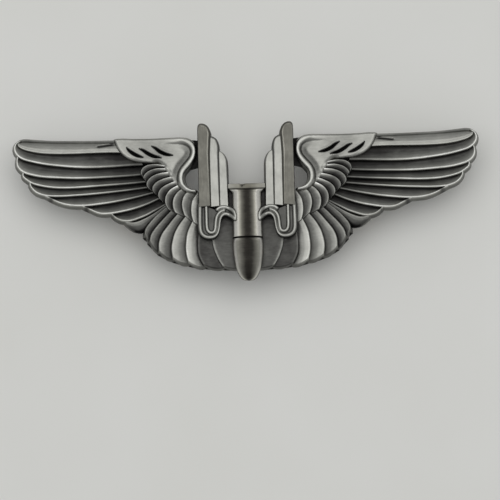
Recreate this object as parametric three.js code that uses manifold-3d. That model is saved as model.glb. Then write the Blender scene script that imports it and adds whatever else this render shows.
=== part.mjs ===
// Flight crew wings badge, lying face up on its two clutches.
// Millimetres. +X is the viewer's right, +Y the badge's top, +Z the way the face points.
// z = 0 is the table. Plan points are written as [outboard, y] for one side and mirrored.
import * as THREE from "three";
import { mergeVertices } from "three/addons/utils/BufferGeometryUtils.js";
import Module from "manifold-3d";

// ---- overall sizes ---------------------------------------------------------
const SPAN = 76.2; // wing tip to wing tip
const HEIGHT = 26.1; // bullet nose to fin tip
const CLUTCH_TOP = 5.5; // top of the clutch discs above the table
const PAD_T = 0.4; // thickness of the post's soldered head
const PAD_GAP = 0.1; // clearance between that head and the disc
const WING_BACK = CLUTCH_TOP + PAD_GAP + PAD_T; // flat back above the table
const WEB_T = 1.0; // thickness of the blank behind the bullet and fins
const SEAT_Z = WING_BACK + WEB_T; // face that the bullet and fins are soldered to
const DRAFT = 0.5; // how far a side wall spreads from its top edge to the back
const SEAT_CLEAR = 0.3; // clearance round the soldered pieces, so they drop in

// ---- relief heights above the back ----------------------------------------
const QUILL_LOW = 0.8; // long feather, where it tucks under the one above
const QUILL_HIGH = 1.45; // long feather, at its raised edge
const FAN_LOW = 0.75; // short fan feather, tucked side
const FAN_HIGH = 1.4; // short fan feather, raised side
const COVERT_LOW = 0.9; // small curved covert, tucked side
const COVERT_HIGH = 1.55; // small curved covert, raised side
const PATCH_HIGH = 1.7; // smooth shoulder patch
const NECK_HIGH = 2.1; // rounded S-shaped ridge at the wing root

// ---- bullet and fins -------------------------------------------------------
const BULLET_RISE = 2.2; // height of the bullet above its seat
const FIN_STEPS = [1.75, 1.45, 1.15]; // heights of the three fin steps above the seat
const CUP_RISE = 1.3; // floor of the scroll cup above the seat
const CUP_LIP = 1.7; // its raised border
const CURL_CLEAR = 0.2; // clearance where a scroll's curl saddles the bullet

// ---- post and clutch -------------------------------------------------------
const POST_X = 18.0; // posts stand this far either side of the middle
const POST_Y = 3.2; // and this far above it, close to the balance point
const POST_R = 0.575; // plain shank
const POST_TIP_Z = 0.5; // the point stays clear of the table
const PAD_R = 1.7; // soldered head of the post
const CAP_R = 5.6; // clutch disc with its rolled rim
const SHEET = 0.35; // sheet the clutch is pressed from
const HOLE_R = POST_R + 0.225; // post hole through disc and keeper, with its clearance
const RIM_CLEAR = 0.45; // keeper inside the rolled rim
const KEEPER_R = CAP_R - SHEET - RIM_CLEAR;
const KEEPER_TOP = CLUTCH_TOP - SHEET - 0.2;
const JAW_HALF = 2.5; // half width of a jaw plate
const JAW_CLEAR = 0.12; // between a jaw's side and the rail that guides it
const JAW_GAP = 0.15; // between the two jaws' levels, and under the lower one
const UPPER_TOP = KEEPER_TOP - SHEET - 0.35;
const JAW_TOPS = [UPPER_TOP, UPPER_TOP - SHEET - JAW_GAP]; // upper and lower jaw plates
const JAW_GRIP = POST_R + 0.035; // a closed jaw's edge stands this far from the post's axis
const SQUEEZE = 0.8; // travel of a jaw
const JAW_SLOT = POST_R + SQUEEZE + 0.375; // far end of the jaw's slot
const SLOT_HALF = POST_R + 0.175; // half width of the jaw's slot
const JAW_TAIL = 1.5; // plate left behind the gripping edge, short of the other jaw's ear
const BEND = KEEPER_R - 1.7; // the ear starts to turn down here, inside the rolled rim
const RAIL_HALF = BEND - SQUEEZE - 0.1; // rails stop short of a squeezed ear
const EAR_REACH = BEND + 2.0; // ear tips reach this far from the post's axis

// ---- plan of one wing: [tucked edge, raised edge], tip to root --------------
const QUILLS = [
  [[[37.2, 11.25], [36.0, 11.3], [32.0, 11.1], [27.0, 10.95], [20.0, 10.85]],
   [[37.4, 10.95], [36.6, 10.15], [35.0, 9.6], [31.5, 9.07], [26.0, 8.98], [20.0, 9.0]]],
  [[[37.55, 10.8], [36.2, 10.25], [34.0, 9.75], [30.0, 9.4], [19.0, 9.2]],
   [[37.5, 10.4], [37.42, 9.2], [36.5, 8.25], [33.0, 7.25], [28.0, 6.62], [22.0, 6.58], [17.0, 6.8]]],
  [[[37.3, 8.3], [36.4, 8.4], [33.0, 7.5], [28.0, 6.95], [17.0, 7.0]],
   [[37.45, 7.9], [37.3, 6.9], [36.2, 5.85], [33.5, 5.15], [28.0, 4.75], [22.0, 4.85], [16.4, 5.2]]],
  [[[36.5, 5.85], [35.5, 5.8], [32.0, 5.25], [26.0, 5.05], [16.0, 5.4]],
   [[36.6, 5.5], [36.2, 4.85], [34.5, 3.87], [31.5, 3.28], [27.0, 3.25], [22.0, 3.5], [15.8, 3.98]]],
  [[[35.3, 4.3], [34.5, 4.1], [31.0, 3.6], [25.0, 3.65], [15.4, 4.3]],
   [[35.5, 3.9], [35.1, 3.1], [33.8, 2.2], [31.0, 1.83], [27.0, 1.95], [21.0, 2.4], [15.0, 3.1]]],
  [[[32.5, 2.15], [30.0, 2.15], [26.0, 2.3], [20.5, 2.8], [14.6, 3.4]],
   [[32.4, 1.6], [30.5, 0.65], [28.2, 0.16], [25.0, 0.25], [20.0, 0.95], [14.3, 2.3]]],
  [[[26.6, 0.4], [24.0, 0.65], [21.0, 1.05], [17.5, 1.8], [14.0, 2.7]],
   [[26.3, -0.2], [24.6, -1.1], [23.0, -1.32], [20.5, -1.0], [17.5, -0.27], [13.4, 1.5]]],
  [[[21.8, -0.9], [19.5, -0.5], [17.5, 0.05], [15.5, 0.85], [13.4, 1.9]],
   [[21.6, -2.0], [20.2, -2.6], [18.6, -2.48], [16.5, -1.7], [12.8, 0.3]]],
];
// The short feathers fan round to the bullet. Each one's raised edge covers the tucked
// edge of the one outboard of it, so only the raised edges are listed.
const FAN = [
  [[20.0, -2.7], [18.6, -2.9], [16.9, -2.5], [15.4, -1.7], [13.2, -0.2]],
  [[16.75, -4.95], [16.45, -3.8], [15.4, -2.5], [14.2, -1.35], [12.9, -0.3]],
  [[15.9, -6.0], [15.3, -4.4], [14.2, -3.1], [13.2, -2.0], [12.0, -0.8]],
  [[14.45, -7.7], [14.3, -5.8], [13.4, -4.2], [12.3, -2.9], [11.0, -1.4]],
  [[12.25, -8.9], [12.35, -7.0], [11.9, -5.0], [11.0, -3.4], [9.9, -2.0]],
  [[9.75, -9.6], [10.1, -7.6], [9.85, -5.2], [9.2, -3.6], [8.6, -2.4]],
  [[7.3, -10.2], [8.05, -8.3], [8.1, -6.5], [7.8, -4.5], [7.4, -3.0]],
  [[4.2, -10.5], [5.2, -8.6], [5.7, -6.7], [5.8, -4.8], [5.7, -3.0]],
];
const FAN_INNER = [[1.0, -10.4], [1.0, -8.6], [1.0, -6.8], [1.0, -4.8], [1.0, -3.0]];
const FAN_TUCKS = { 0: [[18.2, -4.4], [16.8, -4.5], [15.9, -3.4], [14.6, -2.2], [12.6, -0.6]] };
// Small curved coverts, raised edges again, from the patch down to the fin.
const COVERTS = [
  [[17.1, 5.1], [16.95, 6.0], [16.0, 6.55], [14.6, 6.6]],
  [[16.6, 4.05], [16.7, 4.9], [15.6, 5.65], [13.9, 6.0]],
  [[16.15, 2.8], [16.2, 3.8], [15.0, 4.85], [13.3, 5.3]],
  [[15.1, 1.85], [15.3, 2.9], [14.3, 3.85], [12.6, 4.5]],
  [[13.9, 0.5], [14.4, 1.8], [13.4, 3.0], [12.0, 3.7]],
  [[12.8, -0.9], [13.3, 0.8], [12.5, 2.3], [11.3, 3.1]],
  [[11.75, -1.4], [12.1, 0.0], [11.6, 1.5], [10.6, 2.5]],
  [[10.2, -1.9], [10.6, -0.4], [10.3, 1.1], [9.5, 2.2]],
  [[8.75, -3.1], [9.1, -1.2], [8.9, 0.5], [8.4, 1.6]],
];
const COVERT_INNER = [[7.3, -3.6], [7.3, -1.6], [7.3, 0.2], [7.3, 1.6]];

// Smooth shoulder patch with the root of the wing, counter-clockwise from the top.
const PATCH = [
  [21.2, 10.8], [20.6, 9.2], [19.4, 8.1], [17.6, 7.35], [15.2, 6.9], [13.9, 6.3],
  [12.9, 4.9], [11.9, 3.4], [10.8, 2.3], [9.6, 2.3], [9.9, 3.0], [10.3, 4.2],
  [9.9, 5.4], [8.9, 6.8], [8.3, 8.0], [8.4, 9.6], [9.2, 10.6], [10.6, 10.8],
];
const NECK = [
  [12.4, 10.6], [10.4, 10.55], [9.3, 10.0], [8.8, 8.8], [9.1, 7.5],
  [10.2, 6.0], [10.85, 4.6], [10.6, 3.2], [9.7, 2.35], [8.6, 2.05],
];
const NECK_HALF = 0.6; // half the width of the ridge
// Flat web behind the bullet and the fins' feet, and the tab behind each fin's top.
const WEB = [[0, 2.6], [7.7, 2.6], [7.7, 1.8], [9.4, 2.1], [9.4, -3.0], [7.6, -9.8], [0, -10.2]];
const TAB = [[9.4, 6.6], [8.8, 10.3], [5.2, 10.1], [5.2, 6.6]];
// Three slanted slits in the patch: [outer end, inner end].
const SLITS = [[[19.5, 9.45], [16.95, 7.95]], [[17.3, 9.25], [14.1, 7.75]], [[15.1, 9.5], [12.1, 8.15]]];
const SLIT_HALF = 0.22;
const SLIT_DEPTH = 0.5;

// Fin steps, outline of each at the seat, clockwise from the foot.
const FIN_PLANS = [
  [[7.9, -1.2], [7.9, 12.4], [7.6, 12.95], [7.1, 13.05], [6.4, 12.8], [5.8, 12.2], [5.5, 11.2], [5.5, -1.2]],
  [[6.1, -1.2], [6.1, 10.9], [5.6, 10.95], [4.9, 10.6], [4.3, 9.8], [4.15, 8.8], [4.15, -1.2]],
  [[4.7, -1.2], [4.7, 8.6], [4.2, 8.5], [3.6, 8.1], [3.1, 7.3], [2.9, 6.2], [2.9, -1.2]],
];
const FIN_DRAFT = 0.35;
// Scroll cup at the foot of the fin, with its curl over the bullet's side.
const SCROLL = [
  [7.9, -0.4], [5.3, -1.3], [4.8, -1.0], [4.1, -0.72], [3.3, -0.75], [2.6, -1.1], [2.0, -1.75],
  [1.65, -2.6], [1.75, -3.2], [2.0, -3.45], [2.3, -3.3], [2.8, -2.85], [3.4, -2.45], [3.9, -2.55],
  [4.25, -3.0], [4.4, -4.0], [4.65, -5.1], [5.2, -5.95], [6.2, -6.25], [7.1, -5.95], [7.7, -5.3],
  [7.9, -4.5],
];
const CUP_POCKET = [
  [6.7, -0.6], [5.15, -1.35], [5.1, -2.6], [5.05, -4.2], [5.45, -4.95], [6.0, -5.15],
  [6.5, -4.9], [6.7, -4.3],
];

// Bullet profile: [y, half width], from the rim plate to the nose.
const BULLET = [
  [3.1, 3.1], [2.1, 3.1], [1.95, 2.85], [1.45, 2.45], [-6.05, 2.42], [-6.1, 2.25], [-6.28, 2.25],
  [-6.33, 2.42], [-8.0, 2.38], [-9.2, 2.24], [-10.4, 1.9], [-11.5, 1.42], [-12.4, 0.82], [-13.05, 0.1],
];

// ---- helpers ---------------------------------------------------------------
const kx = SPAN / 76.2;
const ky = HEIGHT / 26.1;
const wasm = await Module();
wasm.setup();

// Plan points of one side in real millimetres; side is -1 for the viewer's left.
function plan(points, side) {
  return points.map(([out, y]) => new THREE.Vector3(side * out * kx, y * ky, 0));
}

// Even samples along a smooth curve through the points.
function smooth(points, count) {
  return new THREE.CatmullRomCurve3(points, false, "centripetal").getSpacedPoints(count);
}

function at(p, z) {
  return new THREE.Vector3(p.x, p.y, z);
}

// Wind a shell outward, whichever way its rings ran.
function outward(positions, indices) {
  let volume = 0;
  for (let i = 0; i < indices.length; i += 3) {
    const [a, b, c] = [0, 1, 2].map((k) => positions[indices[i + k]]);
    volume += a.dot(b.clone().cross(c));
  }
  if (volume < 0) {
    for (let i = 0; i < indices.length; i += 3) {
      [indices[i], indices[i + 1]] = [indices[i + 1], indices[i]];
    }
  }
  const geometry = new THREE.BufferGeometry();
  const flat = positions.flatMap((p) => [p.x, p.y, p.z]);
  geometry.setAttribute("position", new THREE.Float32BufferAttribute(flat, 3));
  geometry.setIndex(indices);
  return geometry;
}

// Closed shell through rings of equal length, capped at both ends.
function loft(rings) {
  const n = rings[0].length;
  const indices = [];
  for (let r = 0; r + 1 < rings.length; r += 1) {
    for (let k = 0; k < n; k += 1) {
      const a = r * n + k;
      const b = r * n + ((k + 1) % n);
      indices.push(a, b, b + n, a, b + n, a + n);
    }
  }
  const end = (rings.length - 1) * n;
  const flatRing = ringPlane(rings[0]);
  for (const [a, b, c] of THREE.ShapeUtils.triangulateShape(flatRing, [])) {
    indices.push(c, b, a);
  }
  for (const [a, b, c] of THREE.ShapeUtils.triangulateShape(ringPlane(rings.at(-1)), [])) {
    indices.push(end + a, end + b, end + c);
  }
  return outward(rings.flat(), indices);
}

// A ring's points in its own plane, wound the way triangulateShape expects.
function ringPlane(ring) {
  const normal = new THREE.Vector3();
  ring.forEach((p, i) => normal.add(p.clone().cross(ring[(i + 1) % ring.length])));
  const turn = new THREE.Quaternion().setFromUnitVectors(normal.normalize(), new THREE.Vector3(0, 0, 1));
  return ring.map((p) => {
    const q = p.clone().applyQuaternion(turn);
    return new THREE.Vector2(q.x, q.y);
  });
}

// Outline moved inward by a distance; a negative distance grows it.
function inset(outline, distance) {
  let area = 0;
  outline.forEach((p, i) => {
    const q = outline[(i + 1) % outline.length];
    area += p.x * q.y - q.x * p.y;
  });
  const sign = area > 0 ? 1 : -1;
  return outline.map((p, i) => {
    const before = outline[(i + outline.length - 1) % outline.length];
    const after = outline[(i + 1) % outline.length];
    const u = p.clone().sub(before).normalize();
    const v = after.clone().sub(p).normalize();
    const normal = new THREE.Vector3(-u.y - v.y, u.x + v.x, 0).multiplyScalar(sign);
    const spread = Math.max(normal.lengthSq() / 2, 0.7);
    return p.clone().addScaledVector(normal, distance / spread);
  });
}

// Plate with drafted walls: the outline at z0, moved in by draft at z1.
function slab(outline, z0, z1, draft) {
  const top = draft === 0 ? outline : inset(outline, draft);
  return loft([outline.map((p) => at(p, z0)), top.map((p) => at(p, z1))]);
}

function box(x0, x1, y0, y1, z0, z1) {
  const geometry = new THREE.BoxGeometry(x1 - x0, y1 - y0, z1 - z0);
  return geometry.translate((x0 + x1) / 2, (y0 + y1) / 2, (z0 + z1) / 2);
}

function solid(geometry) {
  const bare = geometry.clone();
  bare.deleteAttribute("normal");
  bare.deleteAttribute("uv");
  const merged = mergeVertices(bare, 1e-4);
  const vertProperties = Float32Array.from(merged.attributes.position.array);
  const triVerts = Uint32Array.from(merged.index.array);
  return new wasm.Manifold(new wasm.Mesh({ numProp: 3, vertProperties, triVerts }));
}

function union(geometries) {
  return geometries.map(solid).reduce((sum, next) => sum.add(next));
}

function geometryOf(manifold) {
  const mesh = manifold.getMesh();
  const geometry = new THREE.BufferGeometry();
  geometry.setAttribute("position", new THREE.Float32BufferAttribute(mesh.vertProperties, 3));
  geometry.setIndex(new THREE.Uint32BufferAttribute(mesh.triVerts, 1));
  return geometry;
}

const root = new THREE.Group();
root.name = "flight_crew_wings_badge";
const SILVER = new THREE.MeshStandardMaterial({ color: 0x8d8b85, roughness: 0.35, metalness: 1 });
const NICKEL = new THREE.MeshStandardMaterial({ color: 0xb9b6ad, roughness: 0.25, metalness: 1 });
const BRASS = new THREE.MeshStandardMaterial({ color: 0xb08d4a, roughness: 0.35, metalness: 1 });

function put(name, geometry, material) {
  const mesh = new THREE.Mesh(geometry, material);
  mesh.name = name;
  root.add(mesh);
}

// ---- wing blank ------------------------------------------------------------
// One feather: flat on the back, low along its tucked edge, high along its raised edge,
// with a drafted wall falling outward from the raised edge.
function feather(tuck, keel, low, high, stations, side) {
  const tucks = smooth(plan(tuck, side), stations);
  const keels = smooth(plan(keel, side), stations);
  const rings = keels.map((k, i) => {
    const t = tucks[i];
    const along = keels[Math.min(i + 1, stations)].clone().sub(keels[Math.max(i - 1, 0)]);
    const out = new THREE.Vector3(along.y, -along.x, 0).normalize();
    if (out.dot(k.clone().sub(t)) < 0) {
      out.negate();
    }
    const foot = k.clone().addScaledVector(out, DRAFT);
    return [at(t, WING_BACK), at(t, WING_BACK + low), at(k, WING_BACK + high), at(foot, WING_BACK)];
  });
  // the tip has the same draft as the long wall
  const lead = rings[0].map((p, i) => {
    const next = rings[1][i];
    const step = p.clone().sub(next).setZ(0).normalize();
    return p.clone().addScaledVector(step, i === 0 || i === 3 ? DRAFT * 0.6 : 0);
  });
  return loft([lead, ...rings.slice(1)]);
}

// Overlapping row in which each feather's tucked edge lies under the next raised edge.
function row(keels, inner, tucks, low, high, stations, side) {
  return keels.map((keel, i) => {
    const next = keels[i + 1] ?? inner;
    const tuck = tucks[i] ?? next.map(([out, y]) => [out - 0.25, y - 0.05]);
    return feather(tuck, keel, low, high, stations, side);
  });
}

// Rounded ridge along the wing root.
function neck(side) {
  const line = smooth(plan(NECK, side), 14);
  const rings = line.map((p, i) => {
    const along = line[Math.min(i + 1, 14)].clone().sub(line[Math.max(i - 1, 0)]).normalize();
    const across = new THREE.Vector3(-along.y, along.x, 0).multiplyScalar(NECK_HALF);
    const ring = [[-1.15, 0], [-0.95, 0.75], [-0.4, 1], [0.4, 1], [0.95, 0.75], [1.15, 0]];
    return ring.map(([u, v]) => at(p.clone().addScaledVector(across, u), WING_BACK + v * NECK_HIGH));
  });
  return loft(rings);
}

function slit(ends, side) {
  const [a, b] = plan(ends, side);
  const along = b.clone().sub(a).normalize();
  const across = new THREE.Vector3(-along.y, along.x, 0);
  const middle = a.clone().lerp(b, 0.55);
  const outline = [
    a, middle.clone().addScaledVector(across, SLIT_HALF), b, middle.clone().addScaledVector(across, -SLIT_HALF),
  ];
  const floor = WING_BACK + PATCH_HIGH - SLIT_DEPTH;
  return slab(outline, floor, floor + 2, 0);
}

function finFoot(side) {
  return [...FIN_PLANS, SCROLL].map((outline) => {
    const grown = inset(plan(outline, side), -SEAT_CLEAR);
    return slab(grown, SEAT_Z, SEAT_Z + 4, 0);
  });
}

// Half-round bullet, optionally grown all round.
function bullet(grow) {
  const steps = 12;
  const rings = BULLET.map(([y, half], i) => {
    const end = i === 0 ? grow : i === BULLET.length - 1 ? -grow : 0;
    const ring = [];
    for (let k = 0; k <= steps; k += 1) {
      const angle = (Math.PI * k) / steps;
      const x = (half + grow) * kx * Math.cos(angle);
      const rise = Math.min(1.15, 0.25 + 0.75 * (half / 2.42)) * Math.min(1, half / 0.9);
      const z = SEAT_Z + (BULLET_RISE * rise + grow) * Math.sin(angle);
      ring.push(new THREE.Vector3(x, (y + end) * ky, z));
    }
    if (grow > 0) {
      ring.push(new THREE.Vector3(-(half + grow) * kx, (y + end) * ky, SEAT_Z - 1));
      ring.push(new THREE.Vector3((half + grow) * kx, (y + end) * ky, SEAT_Z - 1));
    }
    return ring;
  });
  return loft(rings);
}

const blankParts = [];
const pockets = [];
for (const side of [-1, 1]) {
  QUILLS.forEach(([tuck, keel]) => {
    blankParts.push(feather(tuck, keel, QUILL_LOW, QUILL_HIGH, 7, side));
  });
  blankParts.push(...row(FAN, FAN_INNER, FAN_TUCKS, FAN_LOW, FAN_HIGH, 4, side));
  blankParts.push(...row(COVERTS, COVERT_INNER, {}, COVERT_LOW, COVERT_HIGH, 4, side));
  blankParts.push(slab(inset(plan(PATCH, side), -DRAFT / 2), WING_BACK, WING_BACK + PATCH_HIGH, DRAFT));
  blankParts.push(neck(side));
  blankParts.push(slab(plan(TAB, side), WING_BACK, SEAT_Z, 0));
  pockets.push(...finFoot(side));
  SLITS.forEach((ends) => pockets.push(slit(ends, side)));
}
const webOutline = [...plan(WEB, -1), ...plan(WEB.filter(([out]) => out > 0).reverse(), 1)];
blankParts.push(slab(webOutline, WING_BACK, SEAT_Z, 0));
const bulletFoot = [...plan(BULLET.map(([y, half]) => [half, y]), -1),
  ...plan(BULLET.map(([y, half]) => [half, y]).reverse(), 1)];
pockets.push(slab(inset(bulletFoot, -SEAT_CLEAR), SEAT_Z, SEAT_Z + 4, 0));
put("wing_blank", geometryOf(union(blankParts).subtract(union(pockets))), SILVER);

// ---- bullet and fins -------------------------------------------------------
put("bullet", bullet(0), SILVER);

const bulletRoom = solid(bullet(CURL_CLEAR));
for (const [name, side] of [["left_fin", -1], ["right_fin", 1]]) {
  const steps = FIN_PLANS.map((outline, i) => {
    return slab(plan(outline, side), SEAT_Z, SEAT_Z + FIN_STEPS[i], FIN_DRAFT);
  });
  const scroll = slab(plan(SCROLL, side), SEAT_Z, SEAT_Z + CUP_LIP, FIN_DRAFT * 0.5);
  const pocket = slab(plan(CUP_POCKET, side), SEAT_Z + CUP_RISE, SEAT_Z + 4, 0);
  const fin = union([...steps, scroll]).subtract(solid(pocket)).subtract(bulletRoom);
  put(name, geometryOf(fin), SILVER);
}

// ---- posts -----------------------------------------------------------------
// A nail-like post: soldered head, plain shank, a groove near the point.
function post(x) {
  const r = POST_R;
  const profile = [
    [0, POST_TIP_Z], [0.12, POST_TIP_Z], [r, POST_TIP_Z + 1.0], [r, POST_TIP_Z + 1.3],
    [r - 0.12, POST_TIP_Z + 1.45], [r - 0.12, POST_TIP_Z + 1.75], [r, POST_TIP_Z + 1.9],
    [r, WING_BACK - PAD_T], [PAD_R, WING_BACK - PAD_T], [PAD_R, WING_BACK], [0, WING_BACK],
  ];
  const lathe = new THREE.LatheGeometry(profile.map(([u, v]) => new THREE.Vector2(u, v)), 20);
  return lathe.rotateX(Math.PI / 2).translate(x, POST_Y * ky, 0);
}

// ---- clutches --------------------------------------------------------------
// Pressed disc whose rim is rolled over the keeper's edge.
function cap(x) {
  const lip = KEEPER_TOP - SHEET - 0.15;
  const profile = [
    [HOLE_R, CLUTCH_TOP - SHEET], [CAP_R - SHEET, CLUTCH_TOP - SHEET], [CAP_R - SHEET, lip],
    [KEEPER_R - 0.15, lip], [KEEPER_R - 0.15, lip - 0.35], [CAP_R - 0.15, lip - 0.35],
    [CAP_R, lip - 0.1], [CAP_R, CLUTCH_TOP - 0.3], [CAP_R - 0.3, CLUTCH_TOP], [HOLE_R, CLUTCH_TOP],
    [HOLE_R, CLUTCH_TOP - SHEET],
  ];
  const lathe = new THREE.LatheGeometry(profile.map(([u, v]) => new THREE.Vector2(u, v)), 28);
  return lathe.rotateX(Math.PI / 2).translate(x, POST_Y * ky, 0);
}

// Disc under the cap with two folded side rails that carry the jaws.
function keeper(x) {
  const y = POST_Y * ky;
  const under = KEEPER_TOP - SHEET;
  const railIn = JAW_HALF + JAW_CLEAR;
  const railOut = railIn + SHEET;
  const shelf = JAW_TOPS[1] - SHEET - JAW_GAP;
  const disc = new THREE.CylinderGeometry(KEEPER_R, KEEPER_R, SHEET, 32).rotateX(Math.PI / 2);
  disc.translate(x, y, under + SHEET / 2);
  const hole = new THREE.CylinderGeometry(HOLE_R, HOLE_R, 4, 20).rotateX(Math.PI / 2);
  hole.translate(x, y, under);
  const rails = [];
  for (const s of [-1, 1]) {
    const xs = [x + s * railIn, x + s * railOut].sort((a, b) => a - b);
    const shelfXs = [x + s * (railIn - 0.6), x + s * railOut].sort((a, b) => a - b);
    rails.push(box(xs[0], xs[1], y - RAIL_HALF, y + RAIL_HALF, shelf - SHEET, under + 0.1));
    rails.push(box(shelfXs[0], shelfXs[1], y - RAIL_HALF, y + RAIL_HALF, shelf - SHEET, shelf));
  }
  return geometryOf(union([disc, ...rails]).subtract(solid(hole)));
}

// Jaw plate with a finger ear bent down at one end. A slot lets the post through and its
// far edge grips the shank, so pushing the ear in frees the post.
function jaw(x, side, top) {
  const y = POST_Y * ky;
  const centre = [
    [-JAW_TAIL, top - SHEET / 2], [BEND, top - SHEET / 2], [BEND + 0.45, top - 0.35],
    [BEND + 0.7, top - 0.9], [BEND + 0.85, 1.4], [BEND + 1.05, 0.55], [BEND + 1.35, SHEET / 2],
    [EAR_REACH, SHEET / 2],
  ];
  const foot = centre.length - 2; // from here the ear lies flat on the table
  const rings = centre.map(([v, z], i) => {
    const before = centre[Math.max(i - 1, 0)];
    const after = centre[Math.min(i + 1, centre.length - 1)];
    const length = Math.hypot(after[0] - before[0], after[1] - before[1]);
    const level = i === 0 || i >= foot;
    const across = level ? [0, 1] : [-(after[1] - before[1]) / length, (after[0] - before[0]) / length];
    const half = i > foot ? JAW_HALF * 0.65 : JAW_HALF;
    return [[-1, -1], [1, -1], [1, 1], [-1, 1]].map(([u, w]) => {
      const vv = v + (across[0] * w * SHEET) / 2;
      return new THREE.Vector3(x + u * half, y + side * vv, z + (across[1] * w * SHEET) / 2);
    });
  });
  const slotEnds = [-JAW_GRIP, JAW_SLOT].map((v) => y + side * v).sort((a, b) => a - b);
  const slot = box(x - SLOT_HALF, x + SLOT_HALF, slotEnds[0], slotEnds[1], top - 1, top + 1);
  return geometryOf(solid(loft(rings)).subtract(solid(slot)));
}

for (const [hand, side] of [["left", -1], ["right", 1]]) {
  const x = side * POST_X * kx;
  put(`${hand}_post`, post(x), NICKEL);
  put(`${hand}_clutch_cap`, cap(x), NICKEL);
  put(`${hand}_clutch_keeper`, keeper(x), NICKEL);
  put(`${hand}_upper_jaw`, jaw(x, 1, JAW_TOPS[0]), BRASS);
  put(`${hand}_lower_jaw`, jaw(x, -1, JAW_TOPS[1]), BRASS);
}

export default root;
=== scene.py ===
# %% [markdown]
# # A flight crew wings badge in Blender
# The real badge is struck in brass from a steel die, silver plated, then blackened and
# rubbed back, so every hollow stays dark and every edge shines. We load its CAD frame,
# build the relief as real geometry, and let the finish follow the height of the relief.

# %% Load the frame and keep its box
import math
import bpy
import bmesh
import numpy as np
from mathutils import Matrix, Vector
from mathutils.geometry import delaunay_2d_cdt


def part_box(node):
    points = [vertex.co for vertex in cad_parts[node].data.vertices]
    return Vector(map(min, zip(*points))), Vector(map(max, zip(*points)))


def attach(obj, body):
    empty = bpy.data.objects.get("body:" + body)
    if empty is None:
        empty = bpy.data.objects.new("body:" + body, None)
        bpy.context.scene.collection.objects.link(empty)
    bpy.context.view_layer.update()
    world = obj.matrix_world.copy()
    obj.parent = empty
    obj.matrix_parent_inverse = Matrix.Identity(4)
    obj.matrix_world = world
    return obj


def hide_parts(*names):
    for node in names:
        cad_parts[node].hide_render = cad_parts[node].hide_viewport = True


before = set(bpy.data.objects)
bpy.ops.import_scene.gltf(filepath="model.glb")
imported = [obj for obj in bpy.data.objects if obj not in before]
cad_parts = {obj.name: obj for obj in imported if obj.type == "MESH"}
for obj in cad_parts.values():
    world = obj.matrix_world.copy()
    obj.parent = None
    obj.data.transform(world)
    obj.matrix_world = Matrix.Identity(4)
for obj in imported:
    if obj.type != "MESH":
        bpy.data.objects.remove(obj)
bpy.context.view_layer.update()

# %% [markdown]
# ## Working sizes
# Everything is drawn in millimetres and brought to metres once, when a mesh is finished.
# Heights are counted from the flat back of the blank, which the frame gives us.

# %% Levels read from the frame
MM = 0.001
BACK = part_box("wing_blank")[0][2] / MM
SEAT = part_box("bullet")[0][2] / MM
print("back of the blank at", round(BACK, 3), "mm, seat of the bullet at", round(SEAT, 3), "mm")

# %% [markdown]
# ## One way to add a node
# Both the materials and the geometry trees are long chains of small nodes. One function
# adds a node, sets its properties and fills its inputs: a socket is linked, a value is set.

# %% A node with its settings and links
def add(tree, kind, feed=(), **settings):
    made = tree.nodes.new(kind)
    for name, value in settings.items():
        setattr(made, name, value)
    if isinstance(feed, dict):
        pairs = [(made.inputs[name], given) for name, given in feed.items()]
    else:
        pairs = list(zip([s for s in made.inputs if s.enabled], feed))
    for socket, given in pairs:
        if isinstance(given, bpy.types.NodeSocket):
            tree.links.new(given, socket)
        elif given is not None:
            socket.default_value = given
    return made


def linear(code):
    """An sRGB hex colour as linear RGBA."""
    parts = [int(code[i:i + 2], 16) / 255 for i in (1, 3, 5)]
    return [p / 12.92 if p <= 0.04045 else ((p + 0.055) / 1.055) ** 2.4 for p in parts] + [1.0]


# %% [markdown]
# ## Antique silver
# The plate is silver over brass. A sulphide bath turns it black, and a buffing wheel takes
# the black off wherever it can reach. What is left is a soft mid-grey metal with black
# hollows, bright rubbed edges, faint stains and hair scratches. Each mesh carries a polish
# attribute, 0 in a hollow and 1 on a rubbed edge, and the material reads it. The same attribute
# also holds painted shade beside raised edges and on the fin walls, painted highlight on the
# fin bevels, and a painted reflection on the bullet.

# %% The silver's colour and sheen follow the polish and the painted light
def ramp(node, stops):
    """Set a Color Ramp's stops: [(place, value or colour), ...]."""
    elements = node.color_ramp.elements
    while len(elements) > len(stops):
        elements.remove(elements[-1])
    while len(elements) < len(stops):
        elements.new(1.0)
    for element, (place, value) in zip(elements, stops):
        element.position = place
        element.color = linear(value) if isinstance(value, str) else (value, value, value, 1.0)


def new_material(name):
    material = bpy.data.materials.new(name)
    material.use_nodes = True
    tree = material.node_tree
    tree.nodes.clear()
    return material, tree


SILVER_TONES = [(0.0, "#090909"), (0.25, "#333231"), (0.5, "#6b6b67"), (0.75, "#a6a6a0"), (1.0, "#e4e4e0")]


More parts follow.
